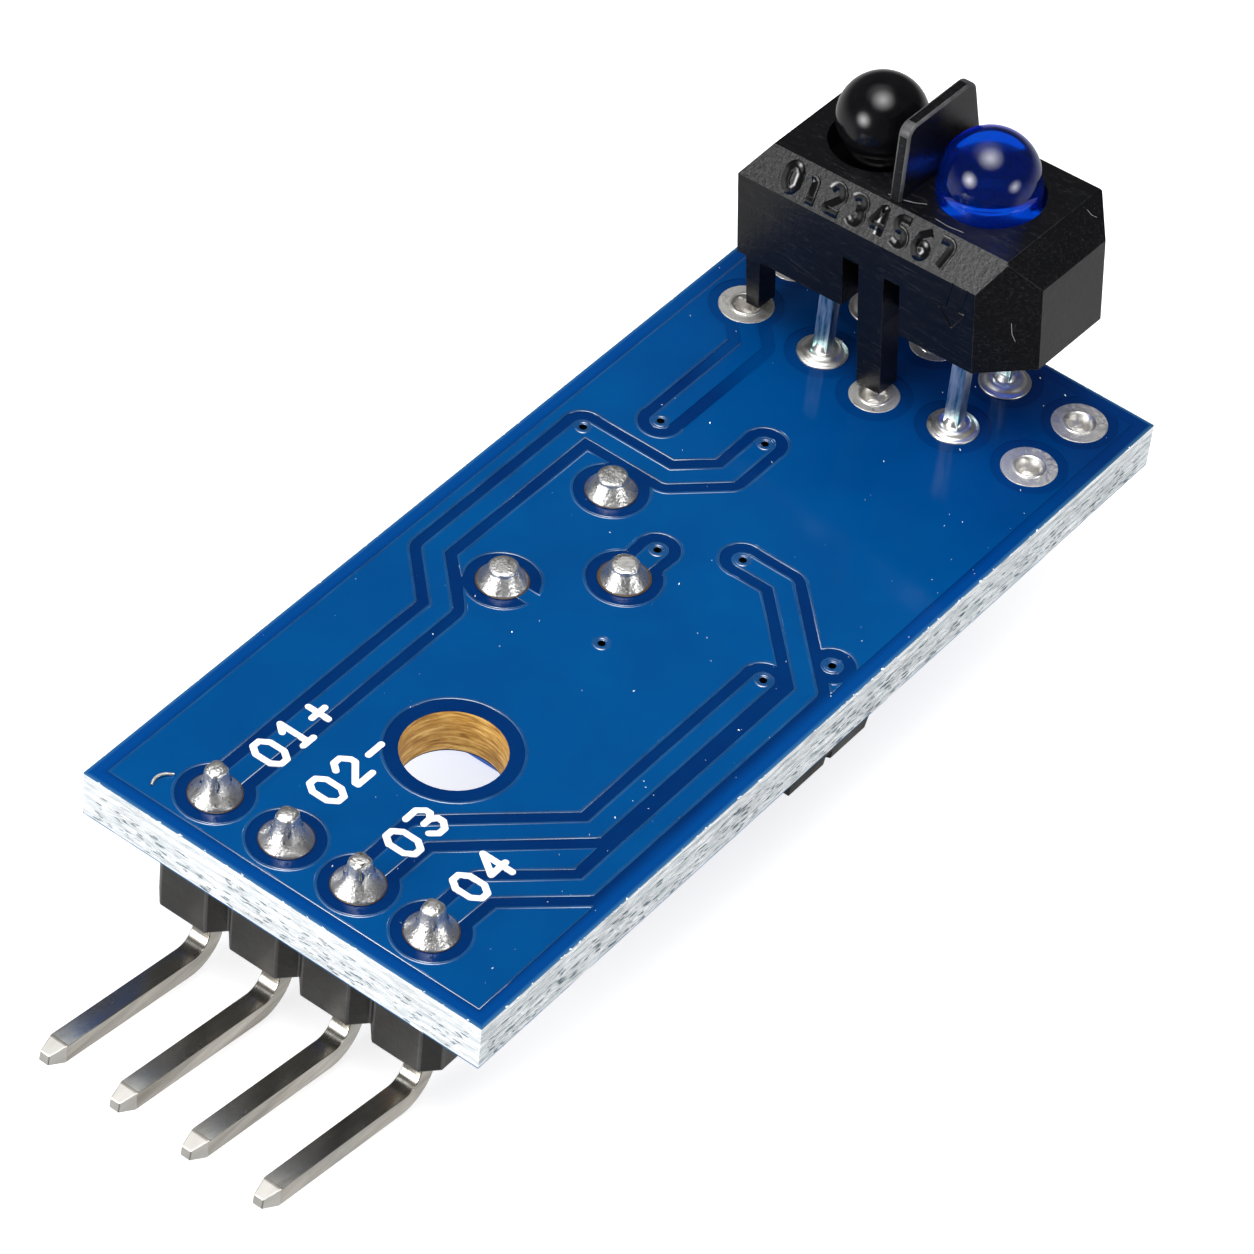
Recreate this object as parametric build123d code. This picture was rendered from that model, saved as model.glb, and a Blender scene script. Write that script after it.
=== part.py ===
from build123d import *
import math
import os

# Infrared reflective sensor module on a small circuit board.
# The work frame has its origin on the mounting-hole axis at the sensor-side face of the board,
# +X towards the sensor end, +Z out of the sensor-side face. All sizes are in millimetres.
# Positions below are measured from the header-end edge (x) and the chip-side edge (y) of the board.

# board
BOARD_L = 32.0
BOARD_W = 14.0
BOARD_T = 1.6
MASK_T = 0.042            # solder mask where there is no copper under it
COPPER_T = 0.035
MASK_STEP = 0.018         # how far the mask stands up where it covers copper
HOLE_X = 7.5
HOLE_Y = 7.0
HOLE_R = 1.55
HOLE_CLEAR_R = 2.03
POUR_MARGIN = 0.5
TRACE_W = 0.58
CHANNEL_W = 1.42
VIA_R = 0.17
VIA_WALL = 0.06

# white printed figures beside the pins: text, left end, middle height
MARKS = (("01+", 3.58, 10.69), ("02-", 3.54, 8.62), ("03", 3.42, 5.81), ("04", 3.36, 3.43))
MARK_W = 0.82
MARK_H = 1.22
MARK_PITCH = 1.04
MARK_STROKE = 0.2
INK_T = 0.012

# pin header
PIN_PITCH = 2.54
PIN_COUNT = 4
PIN_X = 1.81
PIN_SIDE = 0.64
PIN_TOP = 1.02            # tip height over the sensor-side face
PIN_DROP = 6.2            # depth of the bend corner
PIN_REACH = 5.1           # how far the tips stand out past the board edge
PIN_RISE = 1.13           # how much a bent pin climbs towards its tip
PIN_BEND_R = 0.9
PIN_TIP = 0.6             # length of the tapered end
PIN_TIP_SIDE = 0.34
PIN_TOP_TAPER = 0.42
PIN_TOP_SIDE = 0.4
HEADER_DEPTH = 2.42
HEADER_H = 2.5
HEADER_CHAMFER_X = 0.5
HEADER_CHAMFER_Y = 0.45
PAD_R = 0.76
PAD_HOLE_R = 0.5
PAD_CLEAR_R = 1.17
PAD_RAISE = 0.02

# sensor pads and leads
SPARE_R = 0.86
SPARE_HOLE_R = 0.46
LEAD_PAD_R = 0.78
LEAD_PAD_HOLE_R = 0.42
LEAD_X = (27.82, 30.5)
LEAD_Y = (4.4, 9.22)
LEAD_SIZE_X = 0.4
LEAD_SIZE_Y = 0.5
SPARE_SPOTS = ((27.93, 1.72), (30.53, 1.70), (27.98, 12.19), (30.53, 12.22))
LEG_PAD_SPOTS = ((27.35, 6.95), (30.45, 6.95))

# sensor housing, in its own frame: x from the front face, y from the chamfered end, z from its underside
HOUSING_X = 5.8
HOUSING_Y = 10.2
HOUSING_FACE_H = 2.95
HOUSING_TOP = 4.05
HOUSING_CHAMFER = 1.4
HOUSING_BEVEL_X = 0.7
HOUSING_BEVEL_Y = 0.8
HOUSING_WALL = 0.28
ROOF_BOTTOM = 3.05
EMITTER_BASE = (0.6, 4.05)      # reach of each lens body along y, inside the shell
DETECTOR_BASE = (6.3, 9.92)
LENS_X = 2.9
EMITTER_Y = 3.05
DETECTOR_Y = 7.12
LENS_HOLE_R = 1.62
LENS_R = 1.4
LENS_Z = 4.84
DIVIDER_Y = 5.06
DIVIDER_T = 0.42
DIVIDER_TOP = 6.48
LEG_Y = 5.17
LEG_W = 0.92
LEG_DEPTH = 0.87
LEG_LEN = 2.65
SLOT_W = 0.6
SLOT_TOP = 1.85
END_LEG_Y = 9.9
END_LEG_W = 0.47
END_LEG_X = 0.38
END_LEG_DEPTH = 0.8
END_LEG_LEN = 2.2
# the hand-soldered sensor leans a little: position and tilt of its own frame on the board
SENSOR_AT = (27.0, 2.27, 3.21)
SENSOR_TILT = (-4.85, -1.85, -2.39)

# trimmer
TRIM_X = 16.2
TRIM_Y = 9.4
TRIM_L = 7.0
TRIM_W = 6.6
TRIM_GAP = 0.25
TRIM_H = 4.6
TRIM_WALL = 0.55
TRIM_PINS = ((13.67, 10.2), (18.75, 10.2), (16.12, 7.68))
TRIM_PIN_R = 0.26
ROTOR_R = 1.55
ROTOR_RUN = 0.05
ROTOR_FLANGE_R = 2.3

# comparator chip
CHIP_X = 16.97
CHIP_Y = 3.0
CHIP_W = 3.9
CHIP_L = 4.9
CHIP_T = 1.56
CHIP_STRAIGHT = 0.65         # depth of the straight-sided part, by the leads
CHIP_DRAFT = 0.1             # how far the lower face draws in on each side
CHIP_NOTCH_R = 0.16
CHIP_NOTCH_DEPTH = 0.35
CHIP_DOT_R = 0.28
CHIP_DOT_DEPTH = 0.08
CHIP_GAP = 0.15
CHIP_LEAD_PITCH = 1.27
CHIP_SPAN = 6.0

# small flat parts: length, width, height
FLAT_L = 2.0
FLAT_W = 1.25
FLAT_END = 0.4
RESISTOR_H = 0.5
CAPACITOR_H = 0.85
LED_H = 0.8
# x, y and whether the part lies along x
RESISTOR_SPOTS = ((10.9, 12.2, 1), (10.9, 10.3, 1), (10.9, 3.9, 1), (10.9, 2.0, 1), (23.0, 11.4, 0), (23.0, 4.0, 0))
CAPACITOR_SPOTS = ((11.1, 7.1, 0), (22.9, 7.7, 0))
LED_SPOTS = ((7.5, 12.2, 1), (7.5, 1.8, 1))

VIAS = ((20.33, 12.47), (23.4, 8.07), (22.1, 10.95), (15.5, 2.24), (19.02, 5.6), (17.29, 1.13), (13.58, 6.53),
        (17.68, 7.68))
SUPPLY_TRACE = ((1.81, 10.81), (11.65, 10.81), (13.32, 12.47), (20.33, 12.47), (20.33, 9.35), (21.61, 8.07),
                (23.4, 8.07))
SIGNAL_TRACE = ((1.81, 5.7), (4.4, 5.7), (7.72, 2.24), (15.5, 2.24))
ANALOG_TRACE = ((1.81, 3.15), (3.95, 3.12), (5.9, 1.05), (15.95, 1.05), (19.02, 4.15), (19.02, 5.6))
SENSOR_TRACE = ((22.1, 10.95), (26.6, 10.95), (27.7, 12.0))
WIPER_TRACE = ((16.12, 7.68), (17.68, 7.68))
TOP_TRACES = (SUPPLY_TRACE, SIGNAL_TRACE, ANALOG_TRACE, SENSOR_TRACE, WIPER_TRACE)
# tracks on the component side, joining the parts there
UNDER_TRACES = (((8.4, 12.2), (10.0, 12.2)), ((11.8, 12.2), (12.6, 13.0), (20.33, 13.0), (20.33, 12.47)),
                ((8.4, 1.8), (10.0, 2.0)), ((11.8, 2.0), (14.2, 1.3)), ((11.8, 3.9), (14.2, 3.84)),
                ((11.8, 10.3), (12.3, 9.8), (12.3, 6.4), (13.6, 5.1), (14.2, 5.1)), ((20.1, 1.3), (21.5, 1.3), (23.0, 3.0)),
                ((20.1, 2.57), (21.6, 4.2), (21.6, 6.8), (22.9, 6.8)), ((23.0, 5.0), (25.4, 6.2), (27.82, 9.22)),
                ((23.0, 12.4), (26.9, 12.4), (27.98, 12.19)), ((23.0, 10.4), (24.2, 9.4), (24.2, 4.4), (27.82, 4.4)))


def header_rows():
    first = BOARD_W / 2 - PIN_PITCH * (PIN_COUNT - 1) / 2
    return [first + PIN_PITCH * i for i in range(PIN_COUNT)]


def lead_spots():
    return [(x, y) for x in LEAD_X for y in LEAD_Y]


def all_pads():
    pads = [(PIN_X, y, PAD_R, PAD_HOLE_R) for y in header_rows()]
    pads += [(x, y, PAD_R, PAD_HOLE_R) for x, y in TRIM_PINS]
    pads += [(x, y, LEAD_PAD_R, LEAD_PAD_HOLE_R) for x, y in lead_spots()]
    pads += [(x, y, LEAD_PAD_R, LEAD_PAD_HOLE_R) for x, y in LEG_PAD_SPOTS]
    pads += [(x, y, SPARE_R, SPARE_HOLE_R) for x, y in SPARE_SPOTS]
    return pads


def strip(points, width):
    """Flat band of one width with round ends and corners."""
    band = Sketch()
    for (x1, y1), (x2, y2) in zip(points, points[1:]):
        length = math.hypot(x2 - x1, y2 - y1)
        angle = math.degrees(math.atan2(y2 - y1, x2 - x1))
        band += Pos((x1 + x2) / 2, (y1 + y2) / 2) * Rot(0, 0, angle) * Rectangle(length, width)
    for x, y in points:
        band += Pos(x, y) * Circle(width / 2)
    return band


def spots(places, radius):
    disc = Sketch()
    for x, y in places:
        disc += Pos(x, y) * Circle(radius)
    return disc


def board_face():
    return Pos(BOARD_L / 2, BOARD_W / 2) * Rectangle(BOARD_L, BOARD_W)


def slab(face, low, high):
    """Turn a flat face into a plate between two heights."""
    return extrude(Pos(0, 0, low) * face, amount=high - low, dir=(0, 0, 1))


def drilled(solid, pad_extra, via_r=VIA_R + VIA_WALL):
    """Open every pad, via and the mounting hole through a plate."""
    for x, y, pad_r, hole_r in all_pads():
        solid -= Pos(x, y, -BOARD_T / 2) * Cylinder(pad_r if pad_extra else hole_r + 0.05, 3 * BOARD_T)
    for x, y in VIAS:
        solid -= Pos(x, y, -BOARD_T / 2) * Cylinder(via_r, 3 * BOARD_T)
    solid -= Pos(HOLE_X, HOLE_Y, -BOARD_T / 2) * Cylinder(HOLE_R, 3 * BOARD_T)
    return solid


def fibreglass_board():
    return drilled(slab(board_face(), -BOARD_T + MASK_T, -MASK_T), False)


def top_copper_face():
    wide = BOARD_L - 2 * POUR_MARGIN
    high = BOARD_W - 2 * POUR_MARGIN
    pour = Pos(BOARD_L / 2, BOARD_W / 2) * Rectangle(wide, high)
    for path in TOP_TRACES:
        pour -= strip(path, CHANNEL_W)
    for x, y, pad_r, hole_r in all_pads():
        pour -= Pos(x, y) * Circle(PAD_CLEAR_R)
    pour -= spots(VIAS[:6] + VIAS[7:], CHANNEL_W / 2 + 0.02)
    pour -= Pos(HOLE_X, HOLE_Y) * Circle(HOLE_CLEAR_R)
    # one spoke ties the trimmer's end pin to the ground area
    pour += strip((TRIM_PINS[0], (TRIM_PINS[0][0], TRIM_PINS[0][1] - 1.5)), 0.5)
    for path in TOP_TRACES:
        pour += strip(path, TRACE_W)
    for x, y in VIAS:
        pour += Pos(x, y) * Circle(TRACE_W / 2)
    return pour


def top_copper():
    return drilled(slab(top_copper_face(), -MASK_T, -MASK_T + COPPER_T), True)


def top_solder_mask():
    """Mask that follows the copper: at z = 0 on the bare board and one step higher over copper."""
    copper = top_copper_face()
    over = slab(copper, -MASK_T + COPPER_T, MASK_STEP)
    beside = slab(board_face(), -MASK_T, 0) - slab(copper, -MASK_T, -MASK_T + COPPER_T)
    return drilled(over + beside, True, VIA_R)


def flat_pads():
    """Rectangular pads under the small parts and the chip."""
    pads = Sketch()
    for x, y, along in RESISTOR_SPOTS + CAPACITOR_SPOTS + LED_SPOTS:
        for side in (-1, 1):
            turn = Rot(0, 0, 0 if along else 90)
            pads += Pos(x, y) * turn * Pos(side * (FLAT_L / 2 - 0.05), 0) * Rectangle(1.0, FLAT_W + 0.15)
    for x, y in chip_feet():
        pads += Pos(x, y) * Rectangle(1.5, 0.62)
    return pads


def chip_feet():
    rows = [CHIP_Y + CHIP_LEAD_PITCH * (i - 1.5) for i in range(4)]
    return [(CHIP_X + side * (CHIP_SPAN / 2 - 0.4), y) for side in (-1, 1) for y in rows]


def under_copper_face():
    tracks = Sketch()
    for path in UNDER_TRACES:
        tracks += strip(path, 0.4)
    return tracks - flat_pads()


def under_copper():
    high = -BOARD_T + MASK_T
    return drilled(slab(under_copper_face(), high - COPPER_T, high), True)


def under_solder_mask():
    tracks = under_copper_face()
    bottom = -BOARD_T
    over = slab(tracks, bottom - MASK_STEP, bottom + MASK_T - COPPER_T)
    beside = slab(board_face(), bottom, bottom + MASK_T)
    beside -= slab(tracks, bottom + MASK_T - COPPER_T, bottom + MASK_T)
    return drilled(over + beside, True, VIA_R) - slab(flat_pads(), bottom - 1, bottom + 1)


def component_pads():
    return drilled(slab(flat_pads(), -BOARD_T, -BOARD_T + MASK_T), False)


def ring_pad(x, y, pad_r, hole_r):
    """Tinned ring on both faces with its barrel, the rim slightly rounded."""
    top = PAD_RAISE
    bottom = -BOARD_T
    ring = Pos(x, y, (top - MASK_T) / 2) * Cylinder(pad_r, top + MASK_T)
    ring = fillet(ring.edges().group_by(Axis.Z)[-1], 0.018)
    ring += Pos(x, y, bottom + MASK_T / 2) * Cylinder(pad_r, MASK_T)
    ring += Pos(x, y, (top + bottom) / 2) * Cylinder(hole_r + 0.05, top - bottom)
    return ring - Pos(x, y, (top + bottom) / 2) * Cylinder(hole_r, 3 * BOARD_T)


def rings(places, pad_r, hole_r):
    return [ring_pad(x, y, pad_r, hole_r) for x, y in places]


def countersunk_rings():
    """Spare rings have a dished mouth."""
    made = []
    for ring, (x, y) in zip(rings(SPARE_SPOTS, SPARE_R, SPARE_HOLE_R), SPARE_SPOTS):
        mouth = Pos(x, y, PAD_RAISE - 0.03) * Cone(SPARE_HOLE_R, SPARE_HOLE_R + 0.04, 0.07)
        made.append(ring - mouth)
    return made


def via_barrels():
    """Plated tubes; the mask covers their rims on both faces."""
    tubes = []
    for x, y in VIAS:
        tube = Cylinder(VIA_R + VIA_WALL, BOARD_T - 2 * MASK_T) - Cylinder(VIA_R, BOARD_T)
        tubes.append(Pos(x, y, -BOARD_T / 2) * tube)
    return tubes


def header_body():
    """Four barrel-shaped blocks in a row, waisted between the pins."""
    half_x = HEADER_DEPTH / 2
    half_y = PIN_PITCH / 2
    block = Sketch()
    corner_x = half_x - HEADER_CHAMFER_X
    corner_y = half_y - HEADER_CHAMFER_Y
    outline = Polygon((-half_x, -corner_y), (-corner_x, -half_y), (corner_x, -half_y), (half_x, -corner_y),
                      (half_x, corner_y), (corner_x, half_y), (-corner_x, half_y), (-half_x, corner_y), align=None)
    for y in header_rows():
        block += Pos(PIN_X, y) * outline
    body = slab(block, -BOARD_T - HEADER_H, -BOARD_T)
    for y in header_rows():
        body -= Pos(PIN_X, y, -3) * Box(PIN_SIDE, PIN_SIDE, 8)
    return body


def header_pin(y):
    """Square pin: straight through the board, then bent out past the board edge with tapered tips."""
    run = math.hypot(PIN_X + PIN_REACH, PIN_RISE)
    ux = -(PIN_X + PIN_REACH) / run
    uz = PIN_RISE / run
    start = (PIN_X, y, PIN_TOP - PIN_TOP_TAPER)
    corner = (PIN_X, y, -PIN_DROP)
    end = (PIN_X + ux * (run - PIN_TIP), y, -PIN_DROP + uz * (run - PIN_TIP))
    path = FilletPolyline(start, corner, end, radius=PIN_BEND_R)
    bar = sweep(Plane(start, x_dir=(1, 0, 0), z_dir=(0, 0, -1)) * Rectangle(PIN_SIDE, PIN_SIDE), path=path)
    low_face = Plane(end, x_dir=(0, 1, 0), z_dir=(ux, 0, uz)) * Rectangle(PIN_SIDE, PIN_SIDE)
    low_tip = Plane((PIN_X + ux * run, y, -PIN_DROP + uz * run), x_dir=(0, 1, 0), z_dir=(ux, 0, uz))
    bar += loft([low_face, low_tip * Rectangle(PIN_TIP_SIDE, PIN_TIP_SIDE)])
    top_face = Pos(*start) * Rectangle(PIN_SIDE, PIN_SIDE)
    bar += loft([top_face, Pos(PIN_X, y, PIN_TOP) * Rectangle(PIN_TOP_SIDE, PIN_TOP_SIDE)])
    return bar


def revolved(profile):
    """Solid of revolution from radius and height pairs."""
    points = [(0, profile[0][1])] + list(profile) + [(0, profile[-1][1])]
    face = make_face(Polyline(*[(r, 0, z) for r, z in points], close=True).edges())
    return revolve(face, Axis.Z)


def solder_cone(profile, hole_r, fill_to):
    """Concave fillet of solder standing on a ring, with the plug that fills the barrel."""
    cone = revolved(profile)
    depth = PAD_RAISE - fill_to
    return cone + Pos(0, 0, fill_to + depth / 2) * Cylinder(hole_r, depth)


def header_solder():
    profile = ((0.74, PAD_RAISE), (0.73, 0.1), (0.66, 0.22), (0.56, 0.38), (0.47, 0.55), (0.41, 0.7), (0.3, 0.78))
    joint = solder_cone(profile, PAD_HOLE_R, -BOARD_T)
    return [Pos(PIN_X, y, 0) * joint - header_pin(y) for y in header_rows()]


def trimmer_solder():
    profile = ((0.74, PAD_RAISE), (0.73, 0.1), (0.68, 0.2), (0.6, 0.33), (0.52, 0.46), (0.45, 0.57), (0.4, 0.61))
    joint = solder_cone(profile, PAD_HOLE_R, -BOARD_T)
    pin = Pos(0, 0, -1) * Cylinder(TRIM_PIN_R, 8)
    return [Pos(x, y, 0) * (joint - pin) for x, y in TRIM_PINS]


def lead_solder():
    """Low fillets round each lead on the sensor side and taller ones on the component side."""
    low = ((0.72, PAD_RAISE), (0.68, 0.08), (0.52, 0.16), (0.4, 0.3), (0.33, 0.4))
    tall = ((0.7, 0.0), (0.62, 0.2), (0.45, 0.5), (0.32, 0.8))
    under = Pos(0, 0, -BOARD_T) * Rot(180, 0, 0) * revolved(tall)
    joint = solder_cone(low, LEAD_PAD_HOLE_R, -BOARD_T) + under
    bar = Box(LEAD_SIZE_X, LEAD_SIZE_Y, 12)
    return [Pos(x, y, 0) * (joint - bar) for x, y in lead_spots()]


def in_sensor_frame(shape):
    tilt = Rot(0, 0, SENSOR_TILT[2]) * Rot(0, SENSOR_TILT[1], 0) * Rot(SENSOR_TILT[0], 0, 0)
    return Pos(*SENSOR_AT) * tilt * shape


def housing_plan(inset_x, inset_y, height):
    plan = Rectangle(HOUSING_X - 2 * inset_x, HOUSING_Y - 2 * inset_y)
    return Pos(HOUSING_X / 2, HOUSING_Y / 2, height) * plan


def housing_block():
    """Box with a hipped roof; two upright corners of the emitter end are cut off at 45 degrees."""
    block = Pos(HOUSING_X / 2, HOUSING_Y / 2, HOUSING_FACE_H / 2) * Box(HOUSING_X, HOUSING_Y, HOUSING_FACE_H)
    foot = housing_plan(0, 0, HOUSING_FACE_H)
    brim = housing_plan(HOUSING_BEVEL_X, HOUSING_BEVEL_Y, HOUSING_TOP)
    block += loft([foot, brim])
    side = HOUSING_CHAMFER * math.sqrt(2)
    for x in (0, HOUSING_X):
        block -= Pos(x, 0, HOUSING_TOP / 2) * Rot(0, 0, 45) * Box(side, side, HOUSING_TOP + 1)
    return block


def divider():
    half_low = 2.02
    half_high = 1.55
    face = Polygon((-half_low, ROOF_BOTTOM + 0.4), (half_low, ROOF_BOTTOM + 0.4), (half_high, DIVIDER_TOP),
                   (-half_high, DIVIDER_TOP), align=None)
    face = fillet(face.vertices().group_by(Axis.Y)[-1], 0.4)
    wall = extrude(Plane.XZ * face, amount=DIVIDER_T / 2, both=True)
    wall = fillet(wall.edges().group_by(Axis.Z)[-1], 0.08)
    return Pos(LENS_X - 0.1, DIVIDER_Y, 0) * wall


def sensor_legs():
    """Centre leg between the two slots, and the end leg with its small flared rib."""
    top = Pos(LEG_DEPTH / 2, LEG_Y, SLOT_TOP + 0.2) * Rectangle(LEG_DEPTH, LEG_W)
    foot = Pos(LEG_DEPTH / 2, LEG_Y, -LEG_LEN) * Rectangle(LEG_DEPTH - 0.04, LEG_W - 0.06)
    leg = loft([foot, top])
    end_top = Pos(END_LEG_X + END_LEG_DEPTH / 2, END_LEG_Y, 0.5) * Rectangle(END_LEG_DEPTH, END_LEG_W + 0.08)
    end_foot = Pos(END_LEG_X + END_LEG_DEPTH / 2, END_LEG_Y, -END_LEG_LEN) * Rectangle(END_LEG_DEPTH, END_LEG_W)
    rib_top = Pos(END_LEG_X + 0.4, HOUSING_Y - 0.05, 0.3) * Rectangle(0.4, 0.3)
    rib_foot = Pos(END_LEG_X + 0.4, HOUSING_Y - 0.2, -1.5) * Rectangle(0.4, 0.06)
    return leg + loft([end_foot, end_top]) + loft([rib_foot, rib_top])


def pocket(near, far):
    deep = HOUSING_X - 2 * HOUSING_WALL
    box = Pos(HOUSING_X / 2, (near + far) / 2, ROOF_BOTTOM / 2) * Box(deep, far - near, ROOF_BOTTOM)
    return box


def sensor_housing():
    """Black shell: two pockets from below, a bevelled roof with two lens holes, a divider and snap legs."""
    shell = housing_block()
    shell -= pocket(*EMITTER_BASE) - corner_fill()
    shell -= pocket(*DETECTOR_BASE)
    for y in (EMITTER_Y, DETECTOR_Y):
        shell -= Pos(LENS_X, y, HOUSING_TOP) * Cylinder(LENS_HOLE_R, 3)
    shell += divider()
    for side in (-1, 1):
        y = LEG_Y + side * (LEG_W / 2 + SLOT_W / 2)
        shell -= Pos(LEG_DEPTH / 2, y, SLOT_TOP / 2 - 1) * Box(LEG_DEPTH + 0.2, SLOT_W, SLOT_TOP + 2)
    shell += sensor_legs()
    shell -= arrow_cut()
    # small sprue notch at the rear of the end bevel
    shell -= Pos(3.5, 0.35, HOUSING_TOP - 0.1) * Rot(30, 0, 0) * Box(0.7, 0.5, 0.22)
    return in_sensor_frame(shell)


def corner_fill():
    """Keeps the wall thick behind the two corner chamfers."""
    fill = Part()
    for x in (0, HOUSING_X):
        fill += Pos(x, 0, ROOF_BOTTOM / 2) * Rot(0, 0, 45) * Box(2.4, 2.4, ROOF_BOTTOM + 1)
    return fill


def arrow_cut():
    """Shallow engraved outline arrow that marks the first lead."""
    shaft = ((2.2, 2.94), (2.45, 1.95), (2.68, 1.9), (2.18, 1.3), (1.72, 2.02), (1.95, 2.0), (1.66, 2.94))
    groove = Part()
    for (y1, z1), (y2, z2) in zip(shaft, shaft[1:]):
        length = math.hypot(y2 - y1, z2 - z1)
        angle = math.degrees(math.atan2(z2 - z1, y2 - y1))
        middle = Pos(0, (y1 + y2) / 2, (z1 + z2) / 2)
        groove += middle * Rot(angle, 0, 0) * Box(0.08, length + 0.05, 0.07)
    return groove


def lens_blank(y, neck_r, collar):
    """Dome on its neck, the same frame as the housing."""
    blank = Pos(LENS_X, y, LENS_Z) * Sphere(LENS_R)
    blank += Pos(LENS_X, y, (ROOF_BOTTOM - 0.1 + LENS_Z) / 2) * Cylinder(neck_r, LENS_Z - ROOF_BOTTOM + 0.1)
    if collar:
        ring = Pos(LENS_X, y, 0) * Cylinder(LENS_HOLE_R - 0.05, LENS_Z - 0.25 - ROOF_BOTTOM + 0.1)
        ring = Pos(0, 0, (ROOF_BOTTOM - 0.1 + LENS_Z - 0.25) / 2) * ring
        blank += fillet(ring.edges().group_by(Axis.Z)[-1], 0.12)
    return blank


def lens_body(near, far, y, neck_r, collar):
    base_low = 0.35
    base_high = ROOF_BOTTOM
    deep = HOUSING_X - 2 * HOUSING_WALL
    base = Pos(HOUSING_X / 2, (near + far) / 2, (base_low + base_high) / 2)
    block = base * Box(deep, far - near, base_high - base_low)
    return block + lens_blank(y, neck_r, collar)


def emitter_body():
    body = lens_body(*EMITTER_BASE, EMITTER_Y, 1.3, True) - corner_fill()
    body = in_sensor_frame(body - sensor_legs())
    for lead in emitter_leads():
        body -= lead
    return body - emitter_chip()


def detector_body():
    body = lens_body(*DETECTOR_BASE, DETECTOR_Y, 1.02, False)
    body = in_sensor_frame(body - sensor_legs())
    for lead in detector_leads():
        body -= lead
    return body - detector_chip()


def lead_bar(x, y):
    """Flat tinned lead from under the board up into the lens body."""
    low = -BOARD_T - 1.0
    high = 4.3
    bar = Pos(x, y, (low + high) / 2) * Box(LEAD_SIZE_X, LEAD_SIZE_Y, high - low)
    return bar


def chip_place(y):
    return in_sensor_frame(Pos(LENS_X, y, 1.5))


def die_paddle(y, lead_xy):
    """Flat tab inside the lens body that carries the chip, reached by an arm from the lead."""
    x, lead_y = lead_xy
    top = 4.3
    where = chip_place(y).position
    tab = Pos(where.X, where.Y, top - 0.1) * Box(1.0, 1.0, 0.2)
    middle_x = (x + where.X) / 2
    arm = Pos(middle_x, lead_y, top - 0.1) * Box(abs(where.X - x) + 0.4, 0.4, 0.2)
    step = Pos(where.X, (lead_y + where.Y) / 2, top - 0.1) * Box(0.4, abs(where.Y - lead_y) + 0.4, 0.2)
    return tab + arm + step


def emitter_leads():
    front = lead_bar(LEAD_X[0], LEAD_Y[0]) + die_paddle(EMITTER_Y, (LEAD_X[0], LEAD_Y[0]))
    rear = lead_bar(LEAD_X[1], LEAD_Y[0]) - Pos(0, 0, 4.0) * Box(200, 200, 1.2)
    return [front, rear]


def detector_leads():
    front = lead_bar(LEAD_X[0], LEAD_Y[1]) + die_paddle(DETECTOR_Y, (LEAD_X[0], LEAD_Y[1]))
    rear = lead_bar(LEAD_X[1], LEAD_Y[1]) - Pos(0, 0, 4.0) * Box(200, 200, 1.2)
    return [front, rear]


def die(y, side):
    where = chip_place(y).position
    return Pos(where.X, where.Y, 4.3 + 0.1) * Box(side, side, 0.2)


def emitter_chip():
    return die(EMITTER_Y, 0.35)


def detector_chip():
    return die(DETECTOR_Y, 0.6)


def trimmer_level(depth):
    """Height of a trimmer feature, counted down from the component-side face."""
    return -BOARD_T - TRIM_GAP - depth


def trimmer_block(size_x, size_y, top, bottom):
    middle = (trimmer_level(top) + trimmer_level(bottom)) / 2
    return Pos(TRIM_X, TRIM_Y, middle) * Box(size_x, size_y, bottom - top)


def trimmer_disc(radius, top, bottom):
    middle = (trimmer_level(top) + trimmer_level(bottom)) / 2
    return Pos(TRIM_X, TRIM_Y, middle) * Cylinder(radius, bottom - top)


def trimmer_case():
    """Moulded cup, open towards the board, with the rotor's round window in its floor."""
    cup = trimmer_block(TRIM_L, TRIM_W, 0, TRIM_H)
    cup = chamfer(cup.edges().filter_by(Axis.Z), 0.35)
    cup = fillet(cup.edges().group_by(Axis.Z)[0], 0.2)
    cup -= trimmer_block(TRIM_L - 2 * TRIM_WALL, TRIM_W - 2 * TRIM_WALL, -0.1, 1.3)
    cup -= trimmer_disc(ROTOR_FLANGE_R + 0.25, 1.2, TRIM_H - 0.9)
    cup -= trimmer_disc(ROTOR_R + ROTOR_RUN, 3.0, TRIM_H + 1)
    for side_x in (-1, 1):
        foot = Pos(TRIM_X + side_x * (TRIM_L / 2 - 0.5), TRIM_Y - TRIM_W / 2 + 0.6, -BOARD_T - TRIM_GAP / 2)
        cup += foot * Box(0.8, 0.8, TRIM_GAP)
    return cup


def trimmer_base():
    """Ceramic plate that closes the cup and carries the resistive track."""
    plate = trimmer_block(TRIM_L - 2 * TRIM_WALL, TRIM_W - 2 * TRIM_WALL, 0.3, 1.2)
    for x, y in TRIM_PINS:
        plate -= Pos(x, y, -2) * Cylinder(TRIM_PIN_R, 8)
    return plate


def trimmer_track():
    ring = trimmer_disc(1.6, 1.2, 1.24) - trimmer_disc(1.05, 1, 2)
    gap = Pos(TRIM_X, TRIM_Y - 1.4, trimmer_level(1.2)) * Box(1.2, 1.6, 1)
    return ring - gap


def trimmer_pins():
    """Three round pins from the ceramic plate up through the board."""
    pins = []
    for x, y in TRIM_PINS:
        low = trimmer_level(1.2)
        high = 0.62
        pins.append(Pos(x, y, (low + high) / 2) * Cylinder(TRIM_PIN_R, high - low))
    return pins


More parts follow.
